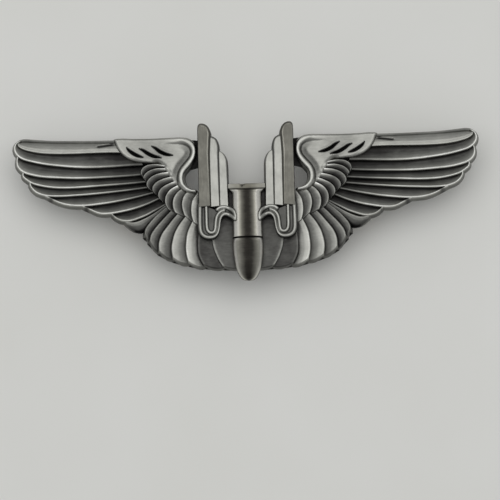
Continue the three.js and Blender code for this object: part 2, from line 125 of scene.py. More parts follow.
def antique_silver(name, grain_scale):
    """Oxidised silver plate, buffed where polish is high; the polish attribute also carries painted shade and painted
    reflection.
    """
    material, tree = new_material(name)
    place = add(tree, "ShaderNodeTexCoord").outputs["Object"]
    polish_and_painted_light = add(tree, "ShaderNodeAttribute", attribute_name="polish_and_painted_light").outputs["Fac"]
    brown = add(tree, "ShaderNodeAttribute", attribute_name="brown").outputs["Fac"]
    # stains about 2 mm across, and a rubbed grain of about 0.15 mm drawn out along the piece
    stain = add(tree, "ShaderNodeTexNoise", {"Vector": place, "Scale": 420.0, "Detail": 4.0, "Roughness": 0.6})
    drawn = add(tree, "ShaderNodeMapping", {"Vector": place, "Scale": grain_scale})
    grain = add(tree, "ShaderNodeTexNoise", {"Vector": drawn.outputs[0], "Scale": 1.0, "Detail": 3.0})
    shift = add(tree, "ShaderNodeMapRange", {"Value": stain.outputs["Fac"], "From Min": 0.3, "From Max": 0.7,
                                             "To Min": -0.045, "To Max": 0.035})
    streak = add(tree, "ShaderNodeMapRange", {"Value": grain.outputs["Fac"], "From Min": 0.3, "From Max": 0.7,
                                              "To Min": -0.02, "To Max": 0.02})
    # polish plus stains and grain; besides wear it carries the painted shade and painted reflection stored in the
    # attribute
    wear_and_shade = add(tree, "ShaderNodeMath", (polish_and_painted_light, shift.outputs[0]), operation="ADD")
    wear_and_shade = add(tree, "ShaderNodeMath", (wear_and_shade.outputs[0], streak.outputs[0]), operation="ADD", use_clamp=True)
    tone = add(tree, "ShaderNodeValToRGB", {"Fac": wear_and_shade.outputs[0]})
    ramp(tone, SILVER_TONES)
    # the brown attribute: a real stain on the fins, and on the bullet crown a warm tint that belongs to its painted
    # reflection
    tinted = add(tree, "ShaderNodeMix", {"Factor": brown}, data_type="RGBA", blend_type="MULTIPLY")
    tree.links.new(tone.outputs["Color"], tinted.inputs["A"])
    tinted.inputs["B"].default_value = linear("#ebe6db")
    colour = tinted.outputs["Result"]
    sheen = add(tree, "ShaderNodeMapRange", {"Value": wear_and_shade.outputs[0], "To Min": 0.55, "To Max": 0.3})
    pits = add(tree, "ShaderNodeTexNoise", {"Vector": place, "Scale": 9000.0, "Detail": 2.0})
    height = add(tree, "ShaderNodeMath", (grain.outputs["Fac"], pits.outputs["Fac"]), operation="ADD")
    relief = add(tree, "ShaderNodeBump", {"Strength": 0.25, "Distance": 0.00004, "Height": height.outputs[0]})
    metal = add(tree, "ShaderNodeBsdfPrincipled", {"Base Color": colour, "Metallic": 1.0,
                                                   "Roughness": sheen.outputs[0], "Normal": relief.outputs[0]})
    add(tree, "ShaderNodeOutputMaterial", (metal.outputs[0],))
    return material


SILVER = antique_silver("antique_silver_plate", (900.0, 4200.0, 4200.0))
FIN_SILVER = antique_silver("antique_silver_fins", (4200.0, 900.0, 4200.0))
print("silver finishes:", SILVER.name, "and", FIN_SILVER.name)

# %% [markdown]
# ## Nickel and spring brass
# Clutch discs and posts are drawn brass with bright nickel plate. The jaws are bare spring
# brass, rolled thin, so they keep a faint rolling grain and a yellow, slightly dull colour.

# %% Plain metals for the fastening
def sheet_metal(name, light, dark, rough, grain_mm):
    material, tree = new_material(name)
    place = add(tree, "ShaderNodeTexCoord").outputs["Object"]
    along = add(tree, "ShaderNodeMapping", {"Vector": place, "Scale": (0.15 / grain_mm / MM, 1 / grain_mm / MM,
                                                                    1 / grain_mm / MM)})
    grain = add(tree, "ShaderNodeTexNoise", {"Vector": along.outputs[0], "Scale": 1.0, "Detail": 3.0})
    smear = add(tree, "ShaderNodeTexNoise", {"Vector": place, "Scale": 350.0, "Detail": 3.0})
    mixed = add(tree, "ShaderNodeMath", (grain.outputs["Fac"], smear.outputs["Fac"]), operation="MULTIPLY")
    tone = add(tree, "ShaderNodeValToRGB", {"Fac": mixed.outputs[0]})
    ramp(tone, [(0.08, dark), (0.4, light)])
    gloss = add(tree, "ShaderNodeMapRange", {"Value": smear.outputs["Fac"], "To Min": rough + 0.1,
                                             "To Max": rough - 0.08})
    relief = add(tree, "ShaderNodeBump", {"Strength": 0.15, "Distance": 0.00002, "Height": grain.outputs["Fac"]})
    metal = add(tree, "ShaderNodeBsdfPrincipled", {"Base Color": tone.outputs["Color"], "Metallic": 1.0,
                                                   "Roughness": gloss.outputs[0], "Normal": relief.outputs[0]})
    add(tree, "ShaderNodeOutputMaterial", (metal.outputs[0],))
    return material


NICKEL = sheet_metal("nickel_plate", "#d3d0c8", "#8d8a83", 0.26, 0.12)
BRASS = sheet_metal("spring_brass", "#c9a45c", "#7d6030", 0.34, 0.1)

# %% [markdown]
# ## Plan curves
# A feather is drawn by two rails, as a die sinker would scribe it: the edge that tucks under
# its neighbour, and the raised edge. The rails are smooth curves through a few points,
# written as [outboard, y] so that one table serves both wings.

# %% Smooth curves through points
def smooth(points, count, closed=False):
    """Even samples, in millimetres, along a centripetal Catmull-Rom curve."""
    p = np.array(points, float)
    if closed:
        p = np.vstack([p[-1], p, p[0], p[1]])
    else:
        p = np.vstack([2 * p[0] - p[1], p, 2 * p[-1] - p[-2]])
    gaps = np.maximum(np.linalg.norm(np.diff(p, axis=0), axis=1), 1e-6) ** 0.5
    knots = np.concatenate([[0], np.cumsum(gaps)])
    dense = []
    for i in range(1, len(p) - 2):
        t = np.linspace(knots[i], knots[i + 1], 24, endpoint=False)[:, None]
        t0, t1, t2, t3 = knots[i - 1:i + 3]
        a1 = (t1 - t) / (t1 - t0) * p[i - 1] + (t - t0) / (t1 - t0) * p[i]
        a2 = (t2 - t) / (t2 - t1) * p[i] + (t - t1) / (t2 - t1) * p[i + 1]
        a3 = (t3 - t) / (t3 - t2) * p[i + 1] + (t - t2) / (t3 - t2) * p[i + 2]
        b1 = (t2 - t) / (t2 - t0) * a1 + (t - t0) / (t2 - t0) * a2
        b2 = (t3 - t) / (t3 - t1) * a2 + (t - t1) / (t3 - t1) * a3
        dense.append((t2 - t) / (t2 - t1) * b1 + (t - t1) / (t2 - t1) * b2)
    dense = np.vstack(dense + [p[-2][None]])
    run = np.concatenate([[0], np.cumsum(np.linalg.norm(np.diff(dense, axis=0), axis=1))])
    places = np.linspace(0, run[-1], count, endpoint=not closed)
    return np.stack([np.interp(places, run, dense[:, k]) for k in range(2)], axis=1)


# %% [markdown]
# ## Feather rails
# Eight long flight feathers, then the short ones that fan round to the bullet, then the
# small curved coverts. Each rail has a tone: how well the buffing wheel reached it, and on the
# tucked rails also painted shade under the neighbour's raised edge.

# %% Rails of the long feathers: (tucked edge, raised edge, tucked tone, raised tone)
QUILLS = [
    ([[36.9, 10.85], [37.1, 10.5], [36.4, 10.15], [34.0, 9.6], [30.0, 9.3], [25.0, 9.3], [18.5, 9.2]],
     [[37.1, 11.1], [37.62, 10.8], [37.87, 10.4], [37.97, 9.95], [37.9, 9.5], [37.65, 9.0], [37.2, 8.55], [36.5, 8.15], [35.2, 7.75],
      [33.0, 7.25], [31.0, 6.95], [28.0, 6.62], [25.0, 6.5], [22.0, 6.58], [19.0, 6.75], [17.0, 6.8]], 0.27, 0.84),
    ([[37.05, 8.45], [36.6, 8.3], [35.0, 7.95], [33.0, 7.5], [30.0, 7.15], [26.0, 6.85], [22.0, 6.9], [17.0, 7.0]],
     [[37.42, 8.5], [37.54, 8.05], [37.58, 7.5], [37.5, 7.0], [37.2, 6.5], [36.7, 6.07], [36.1, 5.78], [35.0, 5.45],
      [33.5, 5.15], [31.0, 4.93], [28.0, 4.76], [25.0, 4.76], [22.0, 4.85], [19.0, 5.0], [16.4, 5.2]], 0.26, 0.83),
    ([[36.2, 5.9], [35.6, 5.85], [34.3, 5.6], [32.0, 5.25], [28.0, 5.05], [22.0, 5.15], [16.0, 5.4]],
     [[36.56, 5.88], [36.62, 5.5], [36.53, 5.15], [36.2, 4.83], [35.75, 4.48], [35.2, 4.13], [34.5, 3.87], [33.0, 3.5],
      [31.5, 3.28], [30.0, 3.2], [28.0, 3.2], [25.0, 3.35], [22.0, 3.5], [19.0, 3.7], [15.8, 4.0]], 0.27, 0.84),
    ([[35.05, 4.25], [34.5, 4.15], [33.0, 3.85], [30.0, 3.5], [26.0, 3.6], [21.0, 3.85], [15.3, 4.25]],
     [[35.42, 4.28], [35.46, 3.95], [35.37, 3.55], [35.05, 3.07], [34.55, 2.58], [33.8, 2.2], [33.0, 1.97], [32.0, 1.86],
      [30.0, 1.83], [28.0, 1.9], [26.0, 2.0], [23.0, 2.22], [20.0, 2.5], [17.5, 2.8], [15.0, 3.12]], 0.27, 0.83),
    ([[32.8, 2.15], [31.4, 2.12], [29.0, 2.2], [26.0, 2.3], [22.0, 2.6], [18.5, 3.0], [14.8, 3.4]],
     [[33.0, 1.93], [32.35, 1.57], [31.5, 1.1], [30.5, 0.65], [29.4, 0.33], [28.2, 0.16], [27.0, 0.12], [26.0, 0.15],
      [24.0, 0.35], [22.0, 0.6], [20.0, 0.95], [18.0, 1.37], [16.5, 1.75], [14.4, 2.3]], 0.27, 0.84),
    ([[26.8, 0.35], [25.5, 0.47], [23.5, 0.75], [21.0, 1.0], [18.5, 1.55], [16.5, 2.05], [14.0, 2.7]],
     [[27.0, 0.12], [26.3, -0.25], [25.4, -0.7], [24.6, -1.1], [23.8, -1.3], [23.0, -1.33], [22.0, -1.25], [20.5, -1.0],
      [19.0, -0.7], [17.5, -0.27], [16.0, 0.3], [15.0, 0.77], [13.4, 1.5]], 0.22, 0.82),
    ([[22.0, -1.05], [20.5, -0.75], [19.0, -0.35], [17.5, 0.05], [16.0, 0.62], [13.6, 1.75]],
     [[22.25, -1.25], [21.85, -1.75], [21.3, -2.2], [20.8, -2.45], [20.2, -2.6], [19.5, -2.65], [18.6, -2.48], [17.5, -2.1], [16.5, -1.7],
      [15.2, -1.0], [14.2, -0.45], [12.8, 0.35]], 0.2, 0.74),
]
LEAD = [
    ([[37.25, 11.05], [36.6, 11.15], [35.0, 11.05], [31.0, 10.85], [27.0, 10.75], [20.0, 10.7]],
     [[37.45, 10.95], [37.35, 10.45], [37.0, 10.1], [36.3, 9.75], [35.3, 9.45], [33.8, 9.15], [31.8, 8.97],
      [29.0, 8.9], [26.0, 8.93], [23.0, 9.0], [20.3, 8.97]], 0.66, 0.73),
]
TOP_RIM = [
    ([[37.25, 10.6], [37.12, 10.85], [36.75, 10.98], [36.2, 11.02], [35.0, 10.92], [32.0, 10.67], [28.0, 10.52],
      [24.0, 10.44], [20.5, 10.44]],
     [[37.68, 10.6], [37.58, 10.92], [37.3, 11.2], [36.85, 11.38], [36.2, 11.44], [35.3, 11.36], [32.0, 11.06], [28.0, 10.93],
      [24.0, 10.86], [20.5, 10.86]], 0.5, 0.58),
]

# %% Rails of the short fan feathers: (raised edge, tucked tone, raised tone), outer to inner
FAN = [
    ([[20.0, -2.75], [19.3, -2.95], [18.3, -2.95], [17.0, -2.5], [15.8, -1.9], [14.6, -1.15], [13.2, -0.2]], 0.3, 0.6),
    ([[16.75, -4.95], [16.72, -4.4], [16.45, -3.8], [16.0, -3.2], [15.4, -2.5], [14.7, -1.8], [13.0, -0.4]], 0.16, 0.56),
    ([[15.98, -6.0], [15.75, -5.1], [15.25, -4.3], [14.5, -3.4], [13.8, -2.65], [13.2, -2.0], [12.0, -0.8]], 0.18, 0.6),
    ([[14.5, -7.7], [14.5, -6.6], [14.25, -5.65], [13.85, -4.85], [13.3, -4.1], [12.7, -3.35], [12.1, -2.6],
      [11.0, -1.4]], 0.3, 0.68),
    ([[12.25, -8.9], [12.4, -8.0], [12.4, -7.0], [12.2, -6.0], [11.9, -5.0], [11.5, -4.2], [11.0, -3.4],
      [9.9, -2.0]], 0.42, 0.74),
    ([[9.75, -9.6], [10.03, -8.4], [10.1, -7.3], [10.0, -6.2], [9.85, -5.2], [9.5, -4.2], [8.6, -2.4]], 0.5, 0.8),
    ([[7.3, -10.2], [7.75, -9.3], [8.05, -8.4], [8.12, -7.4], [8.1, -6.5], [8.0, -5.5], [7.4, -3.0]], 0.26, 0.42),
    ([[4.2, -10.5], [4.85, -9.4], [5.22, -8.5], [5.5, -7.7], [5.65, -7.0], [5.75, -6.2], [5.7, -3.0]], 0.26, 0.58),
]
FAN_END = [[1.0, -10.5], [1.0, -9.4], [1.0, -8.4], [1.0, -7.2], [1.0, -6.0], [1.0, -3.0]]
FIRST_TUCK = [[18.3, -4.5], [17.4, -4.6], [16.6, -4.2], [15.9, -3.4], [14.6, -2.2], [12.6, -0.6]]

# %% Rails of the small curved coverts: (raised edge, tucked tone, raised tone), top to bottom
COVERTS = [
    ([[17.2, 5.05], [17.22, 5.55], [16.97, 6.02], [16.5, 6.38], [15.8, 6.58], [14.5, 6.6], [12.9, 6.35]], 0.2, 0.62),
    ([[16.55, 4.0], [16.83, 4.45], [16.7, 4.9], [16.3, 5.3], [15.7, 5.65], [14.6, 5.92], [12.75, 5.95]], 0.2, 0.6),
    ([[16.1, 2.75], [16.33, 3.2], [16.28, 3.7], [15.95, 4.2], [15.4, 4.65], [14.2, 5.1], [12.3, 5.4]], 0.2, 0.6),
    ([[15.05, 1.85], [15.37, 2.3], [15.38, 2.8], [15.13, 3.25], [14.6, 3.72], [13.5, 4.2], [11.85, 4.65]], 0.2, 0.58),
    ([[13.85, 0.45], [14.33, 1.0], [14.48, 1.6], [14.33, 2.1], [13.9, 2.65], [12.8, 3.3], [11.45, 3.9]], 0.2, 0.6),
    ([[12.75, -0.95], [13.2, -0.3], [13.35, 0.4], [13.28, 1.15], [12.95, 1.8], [12.4, 2.4], [11.0, 3.25]], 0.22, 0.64),
    ([[11.75, -1.45], [12.03, -0.7], [12.1, 0.1], [11.95, 0.85], [11.6, 1.5], [11.2, 2.0], [10.4, 2.6]], 0.32, 0.7),
    ([[10.2, -2.0], [10.5, -1.0], [10.6, -0.2], [10.5, 0.5], [10.3, 1.1], [10.0, 1.6], [9.3, 2.3]], 0.36, 0.72),
    ([[8.75, -3.2], [9.05, -2.1], [9.12, -1.1], [9.0, -0.1], [8.8, 0.6], [8.5, 1.05], [8.0, 1.8]], 0.48, 0.74),
]
COVERT_END = [[7.2, -3.7], [7.2, -2.4], [7.2, -1.1], [7.2, -0.1], [7.2, 0.8], [7.2, 1.8]]
print(len(QUILLS) + len(LEAD), "long,", len(FAN), "fan and", len(COVERTS), "covert feathers a side")

# %% [markdown]
# ## A tree that strikes feathers
# All the feathers follow one rule, so Geometry Nodes make them. A closed ring is swept
# along each raised edge for its topology, then every point is moved to where the section
# says: across from tucked rail to raised rail, up the vane, over the rubbed bead, and down
# the drafted wall. The tip is closed by letting the height fall to the back.

# %% Section of a feather, as curves of the way round it
RING = 28


def shape(node, stops):
    """Give a Float Curve straight stretches between (step, value) stops."""
    curve = node.mapping.curves[0]
    while len(curve.points) < len(stops):
        curve.points.new(0.5, 0.5)
    for point, (step, value) in zip(curve.points, stops):
        point.location = (step / RING, value)
        point.handle_type = "VECTOR"
    node.mapping.update()


ACROSS = [(0, 0), (1, 0), (8, 0.5), (13, 0.84), (17, 1), (24, 1), (28, 0)]
SPREAD = [(0, 0), (17, 0), (18, 0.17), (19, 0.33), (20, 0.45), (21, 0.55), (24, 1), (25, 0), (28, 0)]
FLOOR = [(0, 0), (1, 1), (20, 1), (21, 0.9), (24, 0), (28, 0)]
QUILL_RISE = [(0, 0), (1, 0), (3, 0.03), (8, 0.24), (11, 0.48), (13, 0.7), (15, 0.93), (17, 1), (18, 0.98),
              (19, 0.86), (20, 0.5), (21, 0), (28, 0)]
# Tone curves: dark at the tucked edge, where oxide lies and where shade is painted under the neighbour's raised edge,
# rising to the rubbed bead
QUILL_TONE = [(0, 0.1), (1, 0), (8, 0.12), (11, 0.42), (14, 0.88), (17, 1), (18, 1), (19, 0.9), (20, 0.5),
              (21, 0.4), (24, 0.5), (28, 0.1)]
FLAT_TONE = [(0, 0.3), (1, 0.15), (4, 0.3), (13, 0.3), (15, 0.4), (16, 0.85), (17, 1), (18, 0.6), (19, 0.4), (21, 0.3), (28, 0.2)]
COVERT_TONE = [(0, 0.1), (1, 0), (6, 0.08), (11, 0.35), (14, 0.7), (17, 1), (18, 0.92), (19, 0.6), (20, 0.42),
               (21, 0.4), (24, 0.5), (28, 0.1)]
LOBE_RISE = [(0, 0), (1, 0), (3, 0.25), (6, 0.55), (10, 0.82), (14, 0.95), (17, 1), (18, 0.93), (19, 0.74),
             (20, 0.4), (21, 0), (28, 0)]
LOBE_TONE = [(0, 0.1), (1, 0), (4, 0.1), (8, 0.4), (12, 0.72), (15, 0.92), (17, 1), (18, 0.92), (19, 0.6), (20, 0.42),
             (21, 0.4), (24, 0.5), (28, 0.1)]


# %% The tree itself
def feather_tree(name, rise, tone):
    tree = bpy.data.node_groups.new(name, "GeometryNodeTree")
    sockets = [("Rails", "NodeSocketGeometry"), ("Stations", "NodeSocketInt"), ("Low", "NodeSocketFloat"),
               ("High", "NodeSocketFloat"), ("Draft", "NodeSocketFloat"), ("Tip", "NodeSocketFloat"),
               ("Bulge", "NodeSocketFloat"), ("Soot_and_shade", "NodeSocketFloat"), ("Root", "NodeSocketFloat"),
               ("Sink", "NodeSocketFloat"), ("Finish", "NodeSocketMaterial")]
    for label, kind in sockets:
        tree.interface.new_socket(name=label, in_out="INPUT", socket_type=kind)
    tree.interface.new_socket(name="Feathers", in_out="OUTPUT", socket_type="NodeSocketGeometry")
    given = add(tree, "NodeGroupInput").outputs
    # rails alternate: tucked edge, raised edge; the raised ones carry the sweep
    index = add(tree, "GeometryNodeInputIndex").outputs[0]
    half = add(tree, "ShaderNodeMath", (index, 2.0), operation="DIVIDE").outputs[0]
    pair = add(tree, "ShaderNodeMath", (half,), operation="FLOOR").outputs[0]
    odd = add(tree, "ShaderNodeMath", (index, 2.0), operation="MODULO").outputs[0]
    named = add(tree, "GeometryNodeStoreNamedAttribute", {"Geometry": given["Rails"], "Name": "feather", "Value": pair},
                data_type="FLOAT", domain="CURVE")
    raised = add(tree, "GeometryNodeSeparateGeometry", (named.outputs[0], odd), domain="CURVE")
    even = add(tree, "GeometryNodeResampleCurve", {"Curve": raised.outputs[0], "Count": given["Stations"]})
    along = add(tree, "GeometryNodeSplineParameter").outputs["Factor"]
    spine = add(tree, "GeometryNodeStoreNamedAttribute", {"Geometry": even.outputs[0], "Name": "along",
                                                          "Value": along}, data_type="FLOAT", domain="POINT")
    ring = add(tree, "GeometryNodeCurvePrimitiveCircle", {"Resolution": RING, "Radius": 0.01})
    step = add(tree, "ShaderNodeMath", (index, float(RING)), operation="DIVIDE").outputs[0]
    hoop = add(tree, "GeometryNodeStoreNamedAttribute", {"Geometry": ring.outputs[0], "Name": "round",
                                                         "Value": step}, data_type="FLOAT", domain="POINT")
    swept = add(tree, "GeometryNodeCurveToMesh", {"Curve": spine.outputs[0], "Profile Curve": hoop.outputs[0],
                                                  "Fill Caps": True})
    u, v, k = [add(tree, "GeometryNodeInputNamedAttribute", {"Name": word}, data_type="FLOAT").outputs[0]
               for word in ("along", "round", "feather")]
    # stations crowd toward the tip; where this point sits on the two rails
    u = add(tree, "ShaderNodeMath", (u, 1.25), operation="POWER").outputs[0]
    tip = add(tree, "ShaderNodeMath", (u, given["Tip"]), operation="DIVIDE", use_clamp=True).outputs[0]
    rest = add(tree, "ShaderNodeMapRange", {"Value": u, "From Min": given["Tip"]}).outputs[0]
    first = add(tree, "ShaderNodeMath", (k, 2.0), operation="MULTIPLY").outputs[0]
    second = add(tree, "ShaderNodeMath", (first, 1.0), operation="ADD").outputs[0]
    radius = add(tree, "GeometryNodeInputRadius").outputs[0]
    tuck, keel = [add(tree, "GeometryNodeSampleCurve", {"Curves": given["Rails"], "Value": radius, "Factor": rest,
                                                        "Curve Index": which}, mode="FACTOR", data_type="FLOAT")
                  for which in (first, second)]
    curves = {}
    for word, stops in (("across", ACROSS), ("spread", SPREAD), ("floor", FLOOR), ("rise", rise), ("tone", tone)):
        curve = add(tree, "ShaderNodeFloatCurve", {"Value": v})
        shape(curve, stops)
        curves[word] = curve.outputs[0]
    base = add(tree, "ShaderNodeMix", {"Factor": curves["across"]}, data_type="VECTOR")
    tree.links.new(tuck.outputs["Position"], base.inputs[4])
    tree.links.new(keel.outputs["Position"], base.inputs[5])
    # outward is square to the raised edge, away from the tucked one
    square = add(tree, "ShaderNodeVectorMath", (keel.outputs["Tangent"], (0, 0, 1)), operation="CROSS_PRODUCT")
    width = add(tree, "ShaderNodeVectorMath", (keel.outputs["Position"], tuck.outputs["Position"]),
                operation="SUBTRACT")
    facing = add(tree, "ShaderNodeVectorMath", (square.outputs[0], width.outputs[0]), operation="DOT_PRODUCT")
    side = add(tree, "ShaderNodeMath", (facing.outputs["Value"],), operation="SIGN")
    reach = add(tree, "ShaderNodeMath", (curves["spread"], given["Draft"]), operation="MULTIPLY")
    reach = add(tree, "ShaderNodeMath", (reach.outputs[0], side.outputs[0]), operation="MULTIPLY")
    outward = add(tree, "ShaderNodeVectorMath", {"Vector": square.outputs[0], "Scale": reach.outputs[0]},
                  operation="SCALE")
    # the tip's wall, and a round swelling of the tip between the rails
    ahead = add(tree, "ShaderNodeMath", (1.0, tip), operation="SUBTRACT")
    ahead = add(tree, "ShaderNodeMath", (ahead.outputs[0], given["Draft"]), operation="MULTIPLY")
    other = add(tree, "ShaderNodeMath", (1.0, curves["across"]), operation="SUBTRACT")
    belly = add(tree, "ShaderNodeMath", (curves["across"], other.outputs[0]), operation="MULTIPLY")
    fade = add(tree, "ShaderNodeMapRange", {"Value": rest, "From Max": 0.35, "To Min": 4.0, "To Max": 0.0})
    belly = add(tree, "ShaderNodeMath", (belly.outputs[0], fade.outputs[0]), operation="MULTIPLY")
    belly = add(tree, "ShaderNodeMath", (belly.outputs[0], given["Bulge"]), operation="MULTIPLY")
    push = add(tree, "ShaderNodeMath", (ahead.outputs[0], belly.outputs[0]), operation="ADD")
    push = add(tree, "ShaderNodeMath", (push.outputs[0], -1.0), operation="MULTIPLY")
    forward = add(tree, "ShaderNodeVectorMath", {"Vector": keel.outputs["Tangent"], "Scale": push.outputs[0]},
                  operation="SCALE")
    plan = add(tree, "ShaderNodeVectorMath", (base.outputs[1], outward.outputs[0]), operation="ADD")
    plan = add(tree, "ShaderNodeVectorMath", (plan.outputs[0], forward.outputs[0]), operation="ADD")
    # height
    swell = add(tree, "ShaderNodeFloatCurve", {"Value": tip})
    shape(swell, [(0, 0), (6, 0.5), (14, 0.82), (22, 0.97), (28, 1)])
    step_up = add(tree, "ShaderNodeMath", (given["High"], given["Low"]), operation="SUBTRACT")
    crest = add(tree, "ShaderNodeMath", (curves["rise"], step_up.outputs[0]), operation="MULTIPLY")
    tall = add(tree, "ShaderNodeMath", (curves["floor"], given["Low"], crest.outputs[0]), operation="MULTIPLY_ADD")
    tall = add(tree, "ShaderNodeMath", (tall.outputs[0], swell.outputs[0]), operation="MULTIPLY")
    keep = add(tree, "ShaderNodeMath", (1.0, given["Sink"]), operation="SUBTRACT")
    sunk = add(tree, "ShaderNodeMapRange", {"Value": u, "From Min": 0.7, "To Min": 1.0, "To Max": keep.outputs[0]})
    tall = add(tree, "ShaderNodeMath", (tall.outputs[0], sunk.outputs[0]), operation="MULTIPLY")
    level = add(tree, "ShaderNodeMath", (tall.outputs[0], BACK), operation="ADD")
    flat = add(tree, "ShaderNodeSeparateXYZ", (plan.outputs[0],))
    spot = add(tree, "ShaderNodeCombineXYZ", (flat.outputs[0], flat.outputs[1], level.outputs[0]))
    placed = add(tree, "GeometryNodeSetPosition", {"Geometry": swept.outputs[0], "Position": spot.outputs[0]})
    # how well the wheel reached each point, with painted shade: soot and painted shade darken the strip beside the
    # neighbour's wall, and Root scales the tone toward the root
    tone_mix = add(tree, "ShaderNodeMix", {"Factor": curves["tone"]}, data_type="FLOAT")
    tree.links.new(tuck.outputs["Value"], tone_mix.inputs[2])
    tree.links.new(keel.outputs["Value"], tone_mix.inputs[3])
    span = add(tree, "ShaderNodeVectorMath", (width.outputs[0],), operation="LENGTH")
    off = add(tree, "ShaderNodeMath", (span.outputs["Value"], curves["across"]), operation="MULTIPLY")
    # painted shade with soot: the strip beside the tucked rail is darkened, fading out at the width the socket gives
    soot_and_shade_reach = add(tree, "ShaderNodeMapRange", {"Value": rest, "From Max": 0.06, "To Min": 0.05, "To Max": given["Soot_and_shade"]})
    near = add(tree, "ShaderNodeMath", (soot_and_shade_reach.outputs[0], 0.5), operation="MULTIPLY")
    clean_and_unshaded = add(tree, "ShaderNodeMapRange", {"Value": off.outputs[0], "From Min": near.outputs[0],
                                             "From Max": soot_and_shade_reach.outputs[0], "To Min": 0.1, "To Max": 1.0})
    root = add(tree, "ShaderNodeMapRange", {"Value": u, "From Min": 0.55, "To Min": 1.0, "To Max": given["Root"]})
    dim = add(tree, "ShaderNodeMath", (clean_and_unshaded.outputs[0], root.outputs[0]), operation="MULTIPLY")
    inner = add(tree, "ShaderNodeMath", (tone_mix.outputs[0], dim.outputs[0]), operation="MULTIPLY")
    edge = add(tree, "ShaderNodeMapRange", {"Value": swell.outputs[0], "From Min": 0.5})
    rubbed_and_shaded = add(tree, "ShaderNodeMix", {"Factor": edge.outputs[0]}, data_type="FLOAT")
    rubbed_and_shaded.inputs[2].default_value = 0.45
    tree.links.new(inner.outputs[0], rubbed_and_shaded.inputs[3])
    toned = add(tree, "GeometryNodeStoreNamedAttribute", {"Geometry": placed.outputs[0], "Name": "polish_and_painted_light",
                                                          "Value": rubbed_and_shaded.outputs[0]}, data_type="FLOAT", domain="POINT")
    soft = add(tree, "GeometryNodeSetShadeSmooth", {"Geometry": toned.outputs[0], "Shade Smooth": True})
    real = add(tree, "GeometryNodeRealizeInstances", {"Geometry": soft.outputs[0]})
    done = add(tree, "GeometryNodeSetMaterial", {"Geometry": real.outputs[0], "Material": given["Finish"]})
    add(tree, "NodeGroupOutput", (done.outputs[0],))
    return tree


QUILL_TREE = feather_tree("strike_quills", QUILL_RISE, QUILL_TONE)
LOBE_TREE = feather_tree("strike_lobes", LOBE_RISE, LOBE_TONE)
COVERT_TREE = feather_tree("strike_coverts", LOBE_RISE, COVERT_TONE)
FLAT_TREE = feather_tree("strike_flats", LOBE_RISE, FLAT_TONE)
print("tree sizes:", len(QUILL_TREE.nodes), len(LOBE_TREE.nodes), "nodes")

# %% [markdown]
# ## Running a tree
# The rails become one curve object, with each rail's tone kept as its radius. The result of
# the tree is made a plain mesh, its walls turned outward, and brought to metres.

# %% From rails to a finished mesh
def finish_mesh(mesh, scale=MM):
    """Turn a closed mesh's faces outward and bring it to metres."""
    work = bmesh.new()
    work.from_mesh(mesh)
    bmesh.ops.recalc_face_normals(work, faces=work.faces)
    work.to_mesh(mesh)
    work.free()
    if scale != 1:
        mesh.transform(Matrix.Scale(scale, 4))
    return mesh


def strike(name, pairs, tree, stations, sizes):
    """pairs: (tucked rail, raised rail, tucked tone, raised tone) for one wing."""
    data = bpy.data.curves.new(name + "_rails", "CURVE")
    data.dimensions = "3D"
    for side in (-1, 1):
        for tuck, keel, tuck_tone, keel_tone in pairs:
            for rail, tone in ((tuck, tuck_tone), (keel, keel_tone)):
                line = smooth(rail, 120)
                spline = data.splines.new("POLY")
                spline.points.add(len(line) - 1)
                for point, (out, y) in zip(spline.points, line):
                    point.co = (side * out, y, 0, 1)
                    point.radius = tone
    rails = bpy.data.objects.new(name, data)
    bpy.context.collection.objects.link(rails)
    modifier = rails.modifiers.new(name, "NODES")
    modifier.node_group = tree
    slots = {item.name: item.identifier for item in tree.interface.items_tree if item.in_out == "INPUT"}
    for label, value in {"Stations": stations, "Finish": SILVER, **sizes}.items():
        modifier[slots[label]] = value
    evaluated = rails.evaluated_get(bpy.context.evaluated_depsgraph_get())
    mesh = bpy.data.meshes.new_from_object(evaluated)
    bpy.data.objects.remove(rails)
    mesh = finish_mesh(mesh)
    print(name, "has", len(mesh.polygons), "faces in", 2 * len(pairs), "feathers")
    return mesh


def fan_pairs(rows, end, first=None):
    """Each raised edge hides the tucked edge of the feather before it."""
    keels = [row[0] for row in rows] + [end]
    pairs = []
    for i, (keel, tuck_tone, keel_tone) in enumerate(rows):
        tuck = [[out - 0.25, y - 0.05] for out, y in keels[i + 1]]
        pairs.append((first if first and i == 0 else tuck, keel, tuck_tone, keel_tone))
    return pairs


fan, coverts = fan_pairs(FAN, FAN_END, FIRST_TUCK), fan_pairs(COVERTS, COVERT_END)
